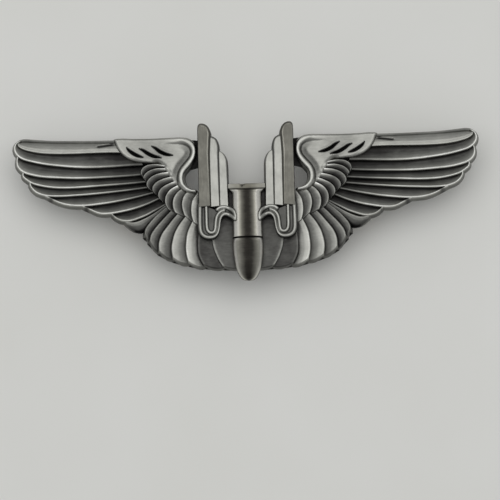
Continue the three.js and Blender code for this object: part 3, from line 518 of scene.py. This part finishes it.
# The soot width, in mm, is how far the painted shade and soot reach from each tucked edge.
relief = [
    strike("quills", QUILLS, QUILL_TREE, 96, {"Low": 0.8, "High": 1.45, "Draft": 0.5, "Tip": 0.015, "Bulge": 0.0,
                                              "Soot_and_shade": 1.05, "Root": 0.45, "Sink": 0.2}),
    strike("lead_quill", LEAD, LOBE_TREE, 80, {"Low": 0.8, "High": 1.4, "Draft": 0.32, "Tip": 0.015, "Bulge": 0.0,
                                                "Soot_and_shade": 0.1, "Root": 0.95, "Sink": 0.25}),
    strike("top_rim", TOP_RIM, LOBE_TREE, 70, {"Low": 0.72, "High": 1.05, "Draft": 0.35, "Tip": 0.01, "Bulge": 0.0,
                                               "Soot_and_shade": 0.1, "Root": 1.0, "Sink": 0.0}),
    strike("outer_fan", fan[:6], LOBE_TREE, 44, {"Low": 0.7, "High": 1.35, "Draft": 0.5, "Tip": 0.08, "Bulge": 0.45,
                                                 "Soot_and_shade": 0.6, "Root": 0.8, "Sink": 0.0}),
    strike("inner_fan", fan[6:], FLAT_TREE, 44, {"Low": 1.03, "High": 1.3, "Draft": 0.4, "Tip": 0.08, "Bulge": 0.45,
                                                 "Soot_and_shade": 0.25, "Root": 0.8, "Sink": 0.0}),
    strike("upper_coverts", coverts[:6], COVERT_TREE, 34, {"Low": 0.95, "High": 1.6, "Draft": 0.35, "Tip": 0.1,
                                                           "Bulge": 0.2, "Soot_and_shade": 0.5, "Root": 1.9, "Sink": 0.25}),
    strike("lower_coverts", coverts[6:], COVERT_TREE, 34, {"Low": 1.02, "High": 1.6, "Draft": 0.35, "Tip": 0.1,
                                                           "Bulge": 0.2, "Soot_and_shade": 0.5, "Root": 1.1, "Sink": 0.25}),
]

# %% A short tool mark near the root of the lead feather
def nick(mesh, start, end, width, depth):
    """Press a dark groove between two plan points, on both wings."""
    points = np.empty(len(mesh.vertices) * 3)
    mesh.vertices.foreach_get("co", points)
    points = points.reshape(-1, 3) / MM
    a, d = np.array(start), np.subtract(end, start)
    flat = np.stack([np.abs(points[:, 0]), points[:, 1]], axis=1) - a
    t = np.clip(flat @ d / (d @ d), 0, 1)
    far = np.linalg.norm(flat - t[:, None] * d, axis=1)
    cut = np.clip(1 - (far / width) ** 2, 0, 1) * (points[:, 2] > BACK + 0.6)
    points[:, 2] -= depth * cut
    mesh.vertices.foreach_set("co", (points * MM).ravel())
    tone = np.empty(len(mesh.vertices))
    mesh.attributes["polish_and_painted_light"].data.foreach_get("value", tone)
    mesh.attributes["polish_and_painted_light"].data.foreach_set("value", tone * (1 - 0.75 * cut))


nick(relief[1], [24.2, 9.95], [21.9, 10.3], 0.26, 0.12)

# %% [markdown]
# ## Smooth relief as a height field
# The shoulder patch and the scrolls are not ribbed, they are sculpted: their height depends
# on how far a point is from an edge or a centre line. So their outline is filled with small
# triangles, each point is lifted by a function of those distances, and a drafted wall is
# dropped to the back.

# %% Distance from points to a line, and a plate with a sculpted top
def reach_to(points, line, closed=False):
    """Distance of each point to a polyline, and how far along it the nearest place is."""
    a = np.array(line)
    b = np.roll(a, -1, axis=0)
    if not closed:
        a, b = a[:-1], b[:-1]
    best = np.full(len(points), 1e9)
    place = np.zeros(len(points))
    hand = np.zeros(len(points))
    for i in range(len(a)):
        d = b[i] - a[i]
        t = np.clip(((points - a[i]) @ d) / max(d @ d, 1e-12), 0, 1)
        gap = points - (a[i] + t[:, None] * d)
        far = np.linalg.norm(gap, axis=1)
        near = far < best
        best[near] = far[near]
        place[near] = (i + t[near]) / len(a)
        hand[near] = np.sign(d[0] * gap[near, 1] - d[1] * gap[near, 0])
    return best, place, hand


def inside(points, outline):
    """Even-odd test of points against a closed outline."""
    a, b = outline, np.roll(outline, -1, axis=0)
    hit = np.zeros(len(points), bool)
    for p, q in zip(a, b):
        spans = (p[1] > points[:, 1]) != (q[1] > points[:, 1])
        with np.errstate(divide="ignore", invalid="ignore"):
            cross = (q[0] - p[0]) * (points[:, 1] - p[1]) / (q[1] - p[1]) + p[0]
        hit ^= spans & (points[:, 0] < cross)
    return hit


def grown(outline, distance):
    """A closed outline moved outward."""
    area = np.sum(outline[:, 0] * np.roll(outline[:, 1], -1) - np.roll(outline[:, 0], -1) * outline[:, 1])
    u = outline - np.roll(outline, 1, axis=0)
    v = np.roll(outline, -1, axis=0) - outline
    u /= np.maximum(np.linalg.norm(u, axis=1), 1e-9)[:, None]
    v /= np.maximum(np.linalg.norm(v, axis=1), 1e-9)[:, None]
    n = np.stack([u[:, 1] + v[:, 1], -u[:, 0] - v[:, 0]], axis=1) * np.sign(area)
    return outline + n * (distance / np.maximum((n ** 2).sum(axis=1) / 2, 0.6))[:, None]


def sculpted(name, outline, spacing, lift, foot_z, draft, wall_tone=0.3):
    """A closed plate for both sides: lift(points) gives height and polish of its top."""
    low, high = outline.min(axis=0), outline.max(axis=0)
    xs = np.arange(low[0], high[0], spacing)
    ys = np.arange(low[1], high[1], spacing * 0.87)
    grid = np.array([[x + (j % 2) * spacing / 2, y] for j, y in enumerate(ys) for x in xs])
    grid = grid[inside(grid, outline)]
    grid = grid[reach_to(grid, outline, True)[0] > spacing * 0.55]
    rim = len(outline)
    points = np.vstack([outline, grid])
    found, _, faces, origin, _, _ = delaunay_2d_cdt([Vector(p) for p in points], [], [list(range(rim))], 1, 1e-6)
    top = np.array([[p.x, p.y] for p in found])
    height, polish_and_painted_light = lift(top)
    # the input rim point that each rim vertex came from
    edge = {origin[i][0]: i for i in range(len(found)) if origin[i] and min(origin[i]) < rim}
    ring = [edge[i] for i in range(rim) if i in edge]
    foot = grown(top[ring], draft)
    meshes = []
    for side in (-1, 1):
        work = bmesh.new()
        tone = work.verts.layers.float.new("polish_and_painted_light")
        skin = [work.verts.new((side * x, y, z)) for (x, y), z in zip(top, height)]
        base = [work.verts.new((side * x, y, foot_z)) for x, y in foot]
        for vert, value in zip(skin, polish_and_painted_light):
            vert[tone] = float(value)
        for vert in base:
            vert[tone] = wall_tone
        for face in faces:
            work.faces.new([skin[i] for i in face])
        for i, j in enumerate(ring):
            n = (i + 1) % len(ring)
            work.faces.new([skin[j], skin[ring[n]], base[n], base[i]])
        work.faces.new(base)
        for face in work.faces:
            face.smooth = len(face.verts) < 5
        mesh = bpy.data.meshes.new(name)
        work.to_mesh(mesh)
        work.free()
        meshes.append(finish_mesh(mesh))
    print(name, "top has", len(faces), "faces")
    return meshes


def bell(distance, width):
    """1 on a line, easing to 0 at width from it."""
    return np.clip(1 - (distance / width) ** 2, 0, 1) ** 1.5


def arch(distance, width):
    """Half-round section: 1 on a line, dropping steeply to 0 at width from it."""
    return np.sqrt(np.clip(1 - (distance / width) ** 2, 0, 1))


# %% [markdown]
# ## Shoulder patch and wing root
# The patch is a smooth swelling with rounded borders, three slanted slits and an S-shaped
# ridge along the root of the wing, with a soft hollow on its inner side.

# %% Patch outline, root ridge and slits
PATCH = [
    [21.6, 11.05], [21.45, 10.5], [21.28, 10.0], [20.98, 9.35], [20.55, 8.75], [19.95, 8.15], [19.15, 7.65],
    [18.1, 7.28], [17.0, 7.07], [16.0, 6.97], [15.0, 6.85], [14.3, 6.65], [13.75, 6.15], [13.3, 5.5],
    [12.8, 4.7], [12.25, 3.9], [11.75, 3.2], [11.3, 2.6], [10.7, 2.15], [9.8, 1.9], [8.7, 1.75], [8.2, 1.8],
    [8.25, 2.15], [8.8, 2.3], [9.35, 2.55], [9.85, 3.05], [10.15, 3.6], [10.25, 4.3], [10.1, 5.0],
    [9.65, 5.6], [9.1, 6.2], [8.6, 6.9], [8.24, 7.7], [8.1, 8.5], [8.12, 9.1], [8.25, 9.75], [8.6, 10.35],
    [9.15, 10.82], [10.1, 11.06], [12.0, 11.1], [14.0, 11.08], [16.0, 11.05], [18.5, 11.1], [20.5, 11.2],
]
RIDGE = [
    [14.5, 10.75], [12.0, 10.7], [10.4, 10.58], [9.4, 10.22], [8.8, 9.72], [8.53, 9.1], [8.48, 8.5],
    [8.65, 7.85], [9.05, 7.15], [9.6, 6.45], [10.15, 5.8], [10.55, 5.15], [10.72, 4.5], [10.72, 3.8],
    [10.6, 3.1], [10.15, 2.55], [9.55, 2.25], [8.8, 2.05], [8.2, 1.98],
]
HOLLOW = [
    [11.2, 10.2], [10.3, 9.98], [9.65, 9.5], [9.25, 8.85], [9.3, 8.1], [9.75, 7.4], [10.35, 6.75],
    [10.95, 6.0], [11.3, 5.2], [11.42, 4.4], [11.35, 3.6], [11.1, 2.9], [10.95, 2.4],
]
ROOTS = [[14.6, 6.8], [13.75, 6.15], [13.3, 5.5], [12.8, 4.7], [12.25, 3.9], [11.75, 3.2], [11.3, 2.6], [10.8, 2.1]]
SLITS = [
    [[19.55, 9.6], [19.25, 9.2], [18.6, 8.65], [17.8, 8.2], [16.9, 7.9]],
    [[17.5, 9.35], [16.9, 9.1], [16.2, 8.6], [15.2, 8.05], [13.9, 7.72]],
    [[15.4, 9.7], [14.8, 9.35], [14.1, 8.8], [13.2, 8.35], [12.0, 8.1]],
]
BEADS = [[13.4, 5.6], [12.8, 4.65], [12.25, 3.75], [11.7, 3.0]]
PATCH_RISE = 1.62
RIDGE_RISE = 0.42
patch_line = smooth(PATCH, 260, True)
ridge_line = smooth(RIDGE, 90)
hollow_line = smooth(HOLLOW, 60)
root_line = smooth(ROOTS, 60)
slit_lines = [smooth(line, 24) for line in SLITS]


def patch_top(points):
    edge = reach_to(points, patch_line, True)[0]
    ridge, reach, _ = reach_to(points, ridge_line)
    grow = np.clip(reach / 0.25, 0, 1) ** 1.5
    hollow, down, _ = reach_to(points, hollow_line)
    root = reach_to(points, root_line)[0]
    slope = np.clip(1 - root / 0.95, 0, 1) ** 1.5
    border = arch(np.clip(0.5 - edge, 0, 0.5), 0.5)
    height = PATCH_RISE - 0.4 + 0.3 * border - 0.6 * slope
    polish_and_painted_light = 0.66 - 0.06 * bell(points[:, 0] - 15.5, 3.5) + 0.06 * bell(edge - 0.3, 0.35) * (1 - slope)
    height += RIDGE_RISE * arch(ridge, 0.65) * grow
    polish_and_painted_light += 0.1 * bell(ridge, 0.55) * grow
    fade = np.clip(np.minimum(down, 1 - down) / 0.3, 0, 1)
    side = points[:, 0] > np.interp(points[:, 1], hollow_line[::-1, 1], hollow_line[::-1, 0])
    height -= 0.26 * bell(hollow, np.where(side, 0.9, 0.42)) * fade
    polish_and_painted_light -= 0.19 * bell(hollow, np.where(side, 1.1, 0.5)) * fade
    for bead in BEADS:
        near = bell(np.linalg.norm(points - bead, axis=1), 0.85)
        height += 0.3 * near
        polish_and_painted_light += 0.1 * near
    for line in slit_lines:
        gap, part, _ = reach_to(points, line)
        body = np.sin(np.pi * np.clip(part, 0.03, 0.97)) ** 0.7
        cut = bell(gap, 0.08 + 0.24 * body)
        height -= 0.42 * cut * body
        polish_and_painted_light -= 0.9 * np.clip(1.5 * cut, 0, 1)
        height += 0.06 * bell(np.abs(gap - 0.42), 0.25) * body
    return BACK + height, np.clip(polish_and_painted_light, 0.03, 1)


relief += sculpted("shoulder_patch", patch_line, 0.13, patch_top, BACK, 0.25)

# %% [markdown]
# ## The web behind the bullet and fins
# The device stands on flat ground that stays dark, since hardly any wheel reaches it.

# %% Flat ground
def slab(name, outline, z0, z1, tone):
    work = bmesh.new()
    layer = work.verts.layers.float.new("polish_and_painted_light")
    rings = [[work.verts.new((x, y, z)) for x, y in outline] for z in (z0, z1)]
    for ring in rings:
        work.faces.new(ring)
    for i in range(len(outline)):
        j = (i + 1) % len(outline)
        work.faces.new([rings[0][i], rings[0][j], rings[1][j], rings[1][i]])
    for vert in work.verts:
        vert[layer] = tone
    mesh = bpy.data.meshes.new(name)
    work.to_mesh(mesh)
    work.free()
    return finish_mesh(mesh)


WEB = [[0, 2.6], [7.7, 2.6], [7.7, 1.8], [9.4, 2.1], [9.4, -3.0], [7.6, -9.8], [0, -10.2]]
TAB = [[9.6, 5.7], [9.2, 10.75], [8.4, 10.7], [5.2, 10.1], [5.2, 6.1], [8.1, 6.1]]
web = [[-out, y] for out, y in WEB] + [[out, y] for out, y in reversed(WEB) if out > 0]
relief.append(slab("web", web, BACK, SEAT, 0.26))
for side in (-1, 1):
    relief.append(slab("tab", [[side * out, y] for out, y in TAB], BACK, SEAT - 0.2, 0.08))

# %% Join the relief into the one struck blank
def assemble(name, meshes, material):
    """Join meshes into one object at the origin, keeping the attribute of polish and painted light."""
    whole = bmesh.new()
    for mesh in meshes:
        whole.from_mesh(mesh)
    mesh = bpy.data.meshes.new(name)
    whole.to_mesh(mesh)
    whole.free()
    mesh.materials.clear()
    mesh.materials.append(material)
    piece = bpy.data.objects.new(name, mesh)
    bpy.context.collection.objects.link(piece)
    mesh.calc_loop_triangles()
    print(name, "has", len(mesh.loop_triangles), "triangles")
    return piece


blank = assemble("struck_wings", relief, SILVER)
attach(blank, "badge")
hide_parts("wing_blank")

# %% [markdown]
# ## The bullet
# A half-round bullet with a rim plate, a crimp groove and a long rounded nose. Its crown
# carries a painted dark reflection with a warm tint, and its flanks a painted bright reflection.

# %% Half-round sections along the bullet
BULLET = [
    [2.86, 2.98], [2.83, 3.12], [2.76, 3.16], [2.2, 3.16], [2.06, 3.1], [1.98, 2.95], [1.74, 2.72], [1.5, 2.5],
    [1.3, 2.4], [-3.0, 2.46], [-6.0, 2.49], [-6.06, 2.45], [-6.1, 2.33], [-6.24, 2.33], [-6.28, 2.43],
    [-6.36, 2.52], [-7.2, 2.56], [-8.0, 2.54], [-9.0, 2.46], [-10.0, 2.32], [-11.0, 2.08], [-11.8, 1.78],
    [-12.3, 1.52], [-12.7, 1.22], [-12.92, 0.95], [-13.04, 0.62], [-13.09, 0.25],
]
RIM_RISE = 1.5
BULLET_RISE = 2.2
ROUND = 40


def bullet_mesh():
    stations = []
    for (y0, r0), (y1, r1) in zip(BULLET, BULLET[1:]):
        count = max(1, int(abs(y1 - y0) / 0.35))
        stations += [(y0 + (y1 - y0) * i / count, r0 + (r1 - r0) * i / count) for i in range(count)]
    stations.append(tuple(BULLET[-1]))
    work = bmesh.new()
    layer = work.verts.layers.float.new("polish_and_painted_light")
    brown = work.verts.layers.float.new("brown")
    rings = []
    for y, half in stations:
        plate = min(max((y - 1.72) / 0.25, 0), 1)
        rise = min(1.05, 0.25 + 0.75 * half / 2.42) * min(1, half / 0.9) * BULLET_RISE
        rise += plate * (RIM_RISE - rise)
        ring = []
        for k in range(ROUND + 1):
            angle = math.pi * k / ROUND
            c, q = math.cos(angle), abs(math.cos(angle)) ** 0.8
            lift = 0.35 * min(1, math.sin(angle) / 0.25) + 0.65 * math.sin(angle) ** 0.75
            lift += plate * (min(1, math.sin(angle) / 0.3) - lift)
            x = half * math.copysign(q, c)
            chip = max(0, 1 - abs(x + 0.7) / 0.35) if y > 2.7 else 0
            vert = work.verts.new((x, y - 0.25 * chip, SEAT + rise * lift - 0.3 * chip * math.sin(angle)))
            # painted reflection: the crown dark and warm, the flanks bright, the foot of each flank dark again; the
            # nose keeps the same pattern
            nose = min(max((-6.3 - y) / 0.5, 0), 1)
            low, high = 0.23 - 0.02 * nose, 1.0 - 0.12 * nose
            knee = 0.64 + 0.18 * nose
            value = low + (high - low) * min(q / knee, 1) ** 2.1
            value *= 1 - 0.6 * max(0, (q - 0.96) / 0.04)
            # the rim plate: a little lighter toward its sides, a painted reflection like the flanks; darker on its
            # chamfer and in the nick
            if y > 1.74:
                value = 0.5 + 0.12 * q - 0.26 * (y < 2.15) - 0.35 * chip
            if -6.3 < y < -6.05:
                value *= 0.12
            vert[layer] = value
            vert[brown] = 1 - 0.7 * q
            ring.append(vert)
        rings.append(ring)
    for a, b in zip(rings, rings[1:]):
        for k in range(ROUND):
            work.faces.new([a[k], a[k + 1], b[k + 1], b[k]])
        work.faces.new([a[-1], a[0], b[0], b[-1]])
    work.faces.new(rings[0])
    work.faces.new(rings[-1])
    for face in work.faces:
        face.smooth = len(face.verts) < 5
    mesh = bpy.data.meshes.new("bullet")
    work.to_mesh(mesh)
    work.free()
    return finish_mesh(mesh)


bullet = assemble("bullet_body", [bullet_mesh()], SILVER)
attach(bullet, "badge")
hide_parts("bullet")

# %% [markdown]
# ## Fins
# Each fin is three plates in steps, with drafted walls and a rubbed bevel round each top,
# ending in a scroll cup whose double border curls over on to the bullet. Walls and bevels
# carry painted shade and painted highlight: lighter where they face the top or inboard.

# %% Stepped plates
FIN_STEPS = [
    ([[7.9, -1.0], [7.9, 12.1], [7.82, 12.8], [7.55, 13.18], [7.1, 13.25], [6.55, 13.08], [6.05, 12.65],
      [5.7, 12.05], [5.54, 11.3], [5.6, 10.4], [5.74, 8.0], [5.78, -1.0]], 1.75, 1.45, 0.62, 0.51, 0.6),
    ([[6.3, -1.0], [6.3, 10.8], [6.1, 11.15], [5.6, 11.12], [5.1, 10.9], [4.6, 10.45], [4.32, 9.75],
      [4.22, 8.95], [4.26, 8.1], [4.3, -1.0]], 1.45, 1.15, 0.5, 0.7, 0.0),
    ([[4.85, -1.0], [4.85, 8.45], [4.7, 8.77], [4.3, 8.73], [3.85, 8.5], [3.4, 8.0], [3.05, 7.2],
      [2.92, 6.3], [2.9, 5.5], [2.9, -1.0]], 1.15, 0.3, 0.38, 0.7, 0.0),
]


def drafted(name, outline, z0, rise, ledge, draft, tone, stain):
    """A plate whose inboard and top walls lean above the ledge, with a rubbed bevel round its top; walls and bevel are
    painted lighter where they face the top or inboard, as painted light.
    """
    push = outline - grown(outline, -0.01)
    facing = push / np.maximum(np.linalg.norm(push, axis=1), 1e-9)[:, None]
    lean = np.clip(np.maximum(-facing[:, 0], facing[:, 1]), 0, 1)
    reach = 0.12 + (draft - 0.12) * lean
    # painted shade and highlight: the walls, dark with oxide, and the rubbed bevel are painted lighter where they face
    # the top or inboard
    wall_oxide_and_shade = 0.2 + 0.24 * lean + 0.12 * np.clip(facing[:, 1], 0, 1)
    line = 0.4 + 0.4 * lean
    face = np.full(len(outline), tone)
    rings = [(0.0, z0, wall_oxide_and_shade), (0.2, z0 + ledge, wall_oxide_and_shade), (0.72, z0 + rise - 0.1, wall_oxide_and_shade),
             (0.8, z0 + rise - 0.06, line), (1.05, z0 + rise, line), (1.1, z0 + rise, face)]
    meshes = []
    for side in (-1, 1):
        work = bmesh.new()
        layer = work.verts.layers.float.new("polish_and_painted_light")
        brown = work.verts.layers.float.new("brown")
        loops = []
        for share, z, values in rings:
            moved = outline - facing * (reach * share)[:, None]
            loop = [work.verts.new((side * x, y, z)) for x, y in moved]
            for vert, value in zip(loop, values):
                vert[layer] = float(value)
                vert[brown] = stain
            loops.append(loop)
        for a, b in zip(loops, loops[1:]):
            for i in range(len(a)):
                j = (i + 1) % len(a)
                work.faces.new([a[i], a[j], b[j], b[i]])
        work.faces.new(loops[0])
        work.faces.new(loops[-1])
        mesh = bpy.data.meshes.new(name)
        work.to_mesh(mesh)
        work.free()
        meshes.append(finish_mesh(mesh))
    return meshes


def with_corners(points, sharp, count):
    """A closed outline whose stretches between sharp corners are smooth."""
    n = len(points)
    pieces = []
    for a, b in zip(sharp, sharp[1:] + [sharp[0] + n]):
        run = [points[i % n] for i in range(a, b + 1)]
        if len(run) > 2:
            pieces.append(smooth(run, count)[:-1])
        else:
            pieces.append(np.array(run, float)[:-1])
    return np.vstack(pieces)


fins = {-1: [], 1: []}
for outline, *sizes in FIN_STEPS:
    last = len(outline) - 1
    edge = with_corners(outline, [0, 1, last - 1, last], 26)
    made = drafted("fin_step", edge, SEAT, *sizes)
    for side, mesh in zip((-1, 1), made):
        fins[side].append(mesh)

# %% The scroll cup with its double border
SCROLL = [
    [7.98, -0.25], [8.12, -2.0], [8.12, -4.3], [8.02, -5.0], [7.75, -5.55], [7.25, -5.98], [6.65, -6.2],
    [6.1, -6.22], [5.55, -6.12], [5.1, -5.82], [4.8, -5.35], [4.62, -4.8], [4.5, -4.2], [4.42, -3.6],
    [4.3, -3.05], [4.08, -2.62], [3.75, -2.43], [3.35, -2.45], [3.0, -2.66], [2.65, -2.98], [2.3, -3.3],
    [2.05, -3.48], [1.8, -3.35], [1.68, -3.0], [1.68, -2.6], [1.8, -2.15], [2.05, -1.68], [2.45, -1.2],
    [2.95, -0.88], [3.5, -0.72], [4.1, -0.7], [4.6, -0.85], [5.0, -1.15], [5.3, -1.3], [6.3, -0.85],
    [6.55, -0.55], [7.2, -0.35],
]
MOUTH = 33  # from this point on the outline is the cup's open mouth
scroll_line = with_corners(SCROLL, [0, MOUTH], 200)
RIBS = [  # (crest line, half width, height, polish): outer border, inner border, top of the curl
    ([[7.66, 0.2], [7.74, -2.0], [7.74, -4.4], [7.62, -5.05], [7.35, -5.5], [6.9, -5.82], [6.3, -5.95],
      [5.7, -5.93], [5.2, -5.7], [4.88, -5.3], [4.7, -4.8], [4.57, -4.2], [4.48, -3.5], [4.35, -2.85], [4.1, -2.4],
      [3.75, -2.15], [3.3, -2.15], [2.85, -2.4], [2.4, -2.8], [2.02, -3.15]], 0.38, 0.46, 0.34),
    ([[6.7, 0.2], [6.68, -2.5], [6.65, -4.2], [6.52, -4.8], [6.2, -5.12], [5.8, -5.18], [5.45, -5.0], [5.3, -4.6],
      [5.22, -4.1], [5.16, -3.4], [5.0, -2.6], [4.7, -2.05], [4.3, -1.7], [3.8, -1.5]], 0.32, 0.4, 0.38),
    ([[4.9, -1.35], [4.55, -1.1], [4.0, -0.98], [3.45, -1.02], [2.9, -1.28], [2.4, -1.65], [2.05, -2.2],
      [1.95, -2.8], [2.02, -3.15]], 0.36, 0.46, 0.4),
]
rib_lines = [smooth(line, 90) for line, *_ in RIBS]


def scroll_top(points):
    height = np.full(len(points), 1.22)
    polish_and_painted_light = np.full(len(points), 0.37)
    edge = reach_to(points, scroll_line, True)[0]
    for line, (_, wide, tall, bright) in zip(rib_lines, RIBS):
        rib = arch(reach_to(points, line)[0], wide)
        height = np.maximum(height, 1.22 + tall * rib)
        polish_and_painted_light = np.maximum(polish_and_painted_light, 0.37 + bright * rib ** 1.1)
    curl = np.clip((3.1 - points[:, 0]) / 1.1, 0, 1)
    height += 0.5 * curl * curl * (3 - 2 * curl)
    return SEAT + height, np.clip(polish_and_painted_light - 0.2 * bell(edge, 0.08), 0.05, 1)


scrolls = sculpted("scroll", scroll_line, 0.07, scroll_top, SEAT, 0.06, 0.2)
for (side, name), mesh in zip(((-1, "left_fin"), (1, "right_fin")), scrolls):
    piece = assemble(name + "_stepped", fins[side] + [mesh], FIN_SILVER)
    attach(piece, "badge")
    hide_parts(name)

# %% [markdown]
# ## Posts and clutches
# The nail-like posts and the pressed clutch discs are turned shapes, so they are lathed
# again here, finely, with the rolled rims and rounded corners that a press leaves.

# %% Turned pieces: section as [radius, height above the table]
def turned(name, section, x, y, steps=96):
    work = bmesh.new()
    rings = []
    for radius, z in section:
        if radius == 0:
            rings.append([work.verts.new((x, y, z))])
            continue
        turn = [2 * math.pi * i / steps for i in range(steps)]
        rings.append([work.verts.new((x + radius * math.cos(t), y + radius * math.sin(t), z)) for t in turn])
    closed = section[0][0] > 0
    for a, b in zip(rings, rings[1:] + ([rings[0]] if closed else [])):
        for i in range(steps):
            j = (i + 1) % steps
            corners = [a[i % len(a)], a[j % len(a)], b[j % len(b)], b[i % len(b)]]
            work.faces.new(list(dict.fromkeys(corners)))
    mesh = bpy.data.meshes.new(name)
    work.to_mesh(mesh)
    work.free()
    mesh = finish_mesh(mesh)
    mesh.shade_smooth()
    mesh.set_sharp_from_angle(angle=math.radians(50))
    return mesh


CAP = [
    [0.8, 5.2], [0.95, 5.15], [5.2, 5.15], [5.25, 5.1], [5.25, 4.52], [5.2, 4.46], [4.78, 4.45], [4.68, 4.4],
    [4.64, 4.28], [4.68, 4.16], [4.78, 4.11], [5.3, 4.1], [5.44, 4.15], [5.55, 4.26], [5.6, 4.42], [5.6, 5.1],
    [5.57, 5.25], [5.48, 5.38], [5.35, 5.47], [5.18, 5.5], [4.5, 5.5], [4.35, 5.45], [4.15, 5.42], [1.7, 5.42],
    [1.5, 5.46], [1.3, 5.5], [1.1, 5.49], [0.92, 5.43], [0.82, 5.34], [0.8, 5.26],
]
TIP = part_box("left_post")[0][2] / MM
POST = [
    [0, TIP], [0.07, TIP + 0.01], [0.13, TIP + 0.06], [0.56, TIP + 0.96], [0.575, TIP + 1.02], [0.575, TIP + 1.28],
    [0.55, TIP + 1.33], [0.47, TIP + 1.42], [0.455, TIP + 1.48], [0.455, TIP + 1.72], [0.47, TIP + 1.78],
    [0.55, TIP + 1.87], [0.575, TIP + 1.92], [0.575, 5.4], [0.6, 5.52], [0.68, 5.59], [0.8, 5.61], [1.55, 5.62],
    [1.65, 5.65], [1.7, 5.72], [1.7, 5.92], [1.66, 5.98], [1.58, 6.0], [0, 6.0],
]
for hand in ("left", "right"):
    for part, section, body in (("post", POST, "badge"), ("clutch_cap", CAP, hand + "_clutch")):
        low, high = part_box(f"{hand}_{part}")
        x, y = (low[0] + high[0]) / 2 / MM, (low[1] + high[1]) / 2 / MM
        piece = assemble(f"{hand}_turned_{part}", [turned(part, section, x, y)], NICKEL)
        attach(piece, body)
        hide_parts(f"{hand}_{part}")

# %% Sheet metal pieces get the small soft edges that blanking leaves
def eased(node, name, offset_mm, metal):
    """A copy of a CAD solid with every sharp edge eased."""
    work = bmesh.new()
    work.from_mesh(node.data)
    work.transform(node.matrix_world)
    bmesh.ops.remove_doubles(work, verts=work.verts, dist=1e-6)
    bmesh.ops.dissolve_limit(work, angle_limit=math.radians(2), verts=work.verts, edges=work.edges)
    sharp = [edge for edge in work.edges if edge.calc_face_angle(0) > math.radians(28)]
    bmesh.ops.bevel(work, geom=sharp, offset=offset_mm * MM, segments=2, profile=0.5, affect="EDGES",
                    clamp_overlap=True)
    bmesh.ops.triangulate(work, faces=[face for face in work.faces if len(face.verts) > 4])
    mesh = bpy.data.meshes.new(name)
    work.to_mesh(mesh)
    work.free()
    mesh = finish_mesh(mesh, 1)
    mesh.shade_smooth()
    mesh.set_sharp_from_angle(angle=math.radians(20))
    return assemble(name, [mesh], metal)


for hand in ("left", "right"):
    for part, metal, slot, body in (("clutch_keeper", NICKEL, "nickel_plate", "clutch"),
                                    ("upper_jaw", BRASS, "spring_brass", "upper_jaw"),
                                    ("lower_jaw", BRASS, "spring_brass", "lower_jaw")):
        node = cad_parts[f"{hand}_{part}"]
        piece = eased(node, f"{hand}_eased_{part}", 0.06, metal)
        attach(piece, f"{hand}_{body}")
        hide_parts(f"{hand}_{part}")

# %% [markdown]
# ## Table, light and camera
# The badge lies on a pale matt board. A broad soft light hangs over the board's far side,
# so raised edges catch it and the shadow falls softly toward the viewer.

# %% Pale matt board
def board():
    material, tree = new_material("pale_board")
    place = add(tree, "ShaderNodeTexCoord").outputs["Object"]
    cloud = add(tree, "ShaderNodeTexNoise", {"Vector": place, "Scale": 30.0, "Detail": 3.0})
    tone = add(tree, "ShaderNodeValToRGB", {"Fac": cloud.outputs["Fac"]})
    ramp(tone, [(0.3, "#dadad5"), (0.7, "#dededa")])
    matt = add(tree, "ShaderNodeBsdfPrincipled", {"Base Color": tone.outputs["Color"], "Roughness": 0.75})
    add(tree, "ShaderNodeOutputMaterial", (matt.outputs[0],))
    mesh = bpy.data.meshes.new("board")
    reach = 0.6
    mesh.from_pydata([(-reach, -reach, 0), (reach, -reach, 0), (reach, reach, 0), (-reach, reach, 0)], [],
                     [(0, 1, 2, 3)])
    mesh.materials.append(material)
    floor = bpy.data.objects.new("board", mesh)
    bpy.context.collection.objects.link(floor)


board()

# %% Soft studio light
def lamp(name, size, power, place, target):
    data = bpy.data.lights.new(name, "AREA")
    data.shape = "RECTANGLE"
    data.size, data.size_y = size
    data.energy = power
    thing = bpy.data.objects.new(name, data)
    thing.location = place
    thing.rotation_euler = (Vector(target) - Vector(place)).to_track_quat("-Z", "Y").to_euler()
    bpy.context.collection.objects.link(thing)


lamp("overhead_softbox", (1.0, 0.8), 2.85, (0.0, 0.12, 0.75), (0, 0, 0))
world = bpy.data.worlds.new("room")
world.use_nodes = True
world.node_tree.nodes["Background"].inputs["Color"].default_value = linear("#f4f5f6")
world.node_tree.nodes["Background"].inputs["Strength"].default_value = 0.54
bpy.context.scene.world = world
bpy.context.scene.view_settings.view_transform = "Standard"

# %% Camera above the board, leaning a little toward the viewer
ELEVATION = math.radians(79.0)
DISTANCE = 0.6
aim = Vector((0.29, -8.03, 7.3)) * MM
camera = bpy.data.objects.new("camera", bpy.data.cameras.new("camera"))
camera.location = aim + DISTANCE * Vector((0, -math.cos(ELEVATION), math.sin(ELEVATION)))
look = (aim - camera.location).to_track_quat("-Z", "Y").to_matrix()
camera.rotation_euler = (look @ Matrix.Rotation(math.radians(-1.48), 3, "Z")).to_euler()
camera.data.sensor_width = 36.0
camera.data.lens = 264.2
camera.data.clip_start = 0.01
camera.data.clip_end = 10.0
bpy.context.collection.objects.link(camera)
bpy.context.scene.camera = camera
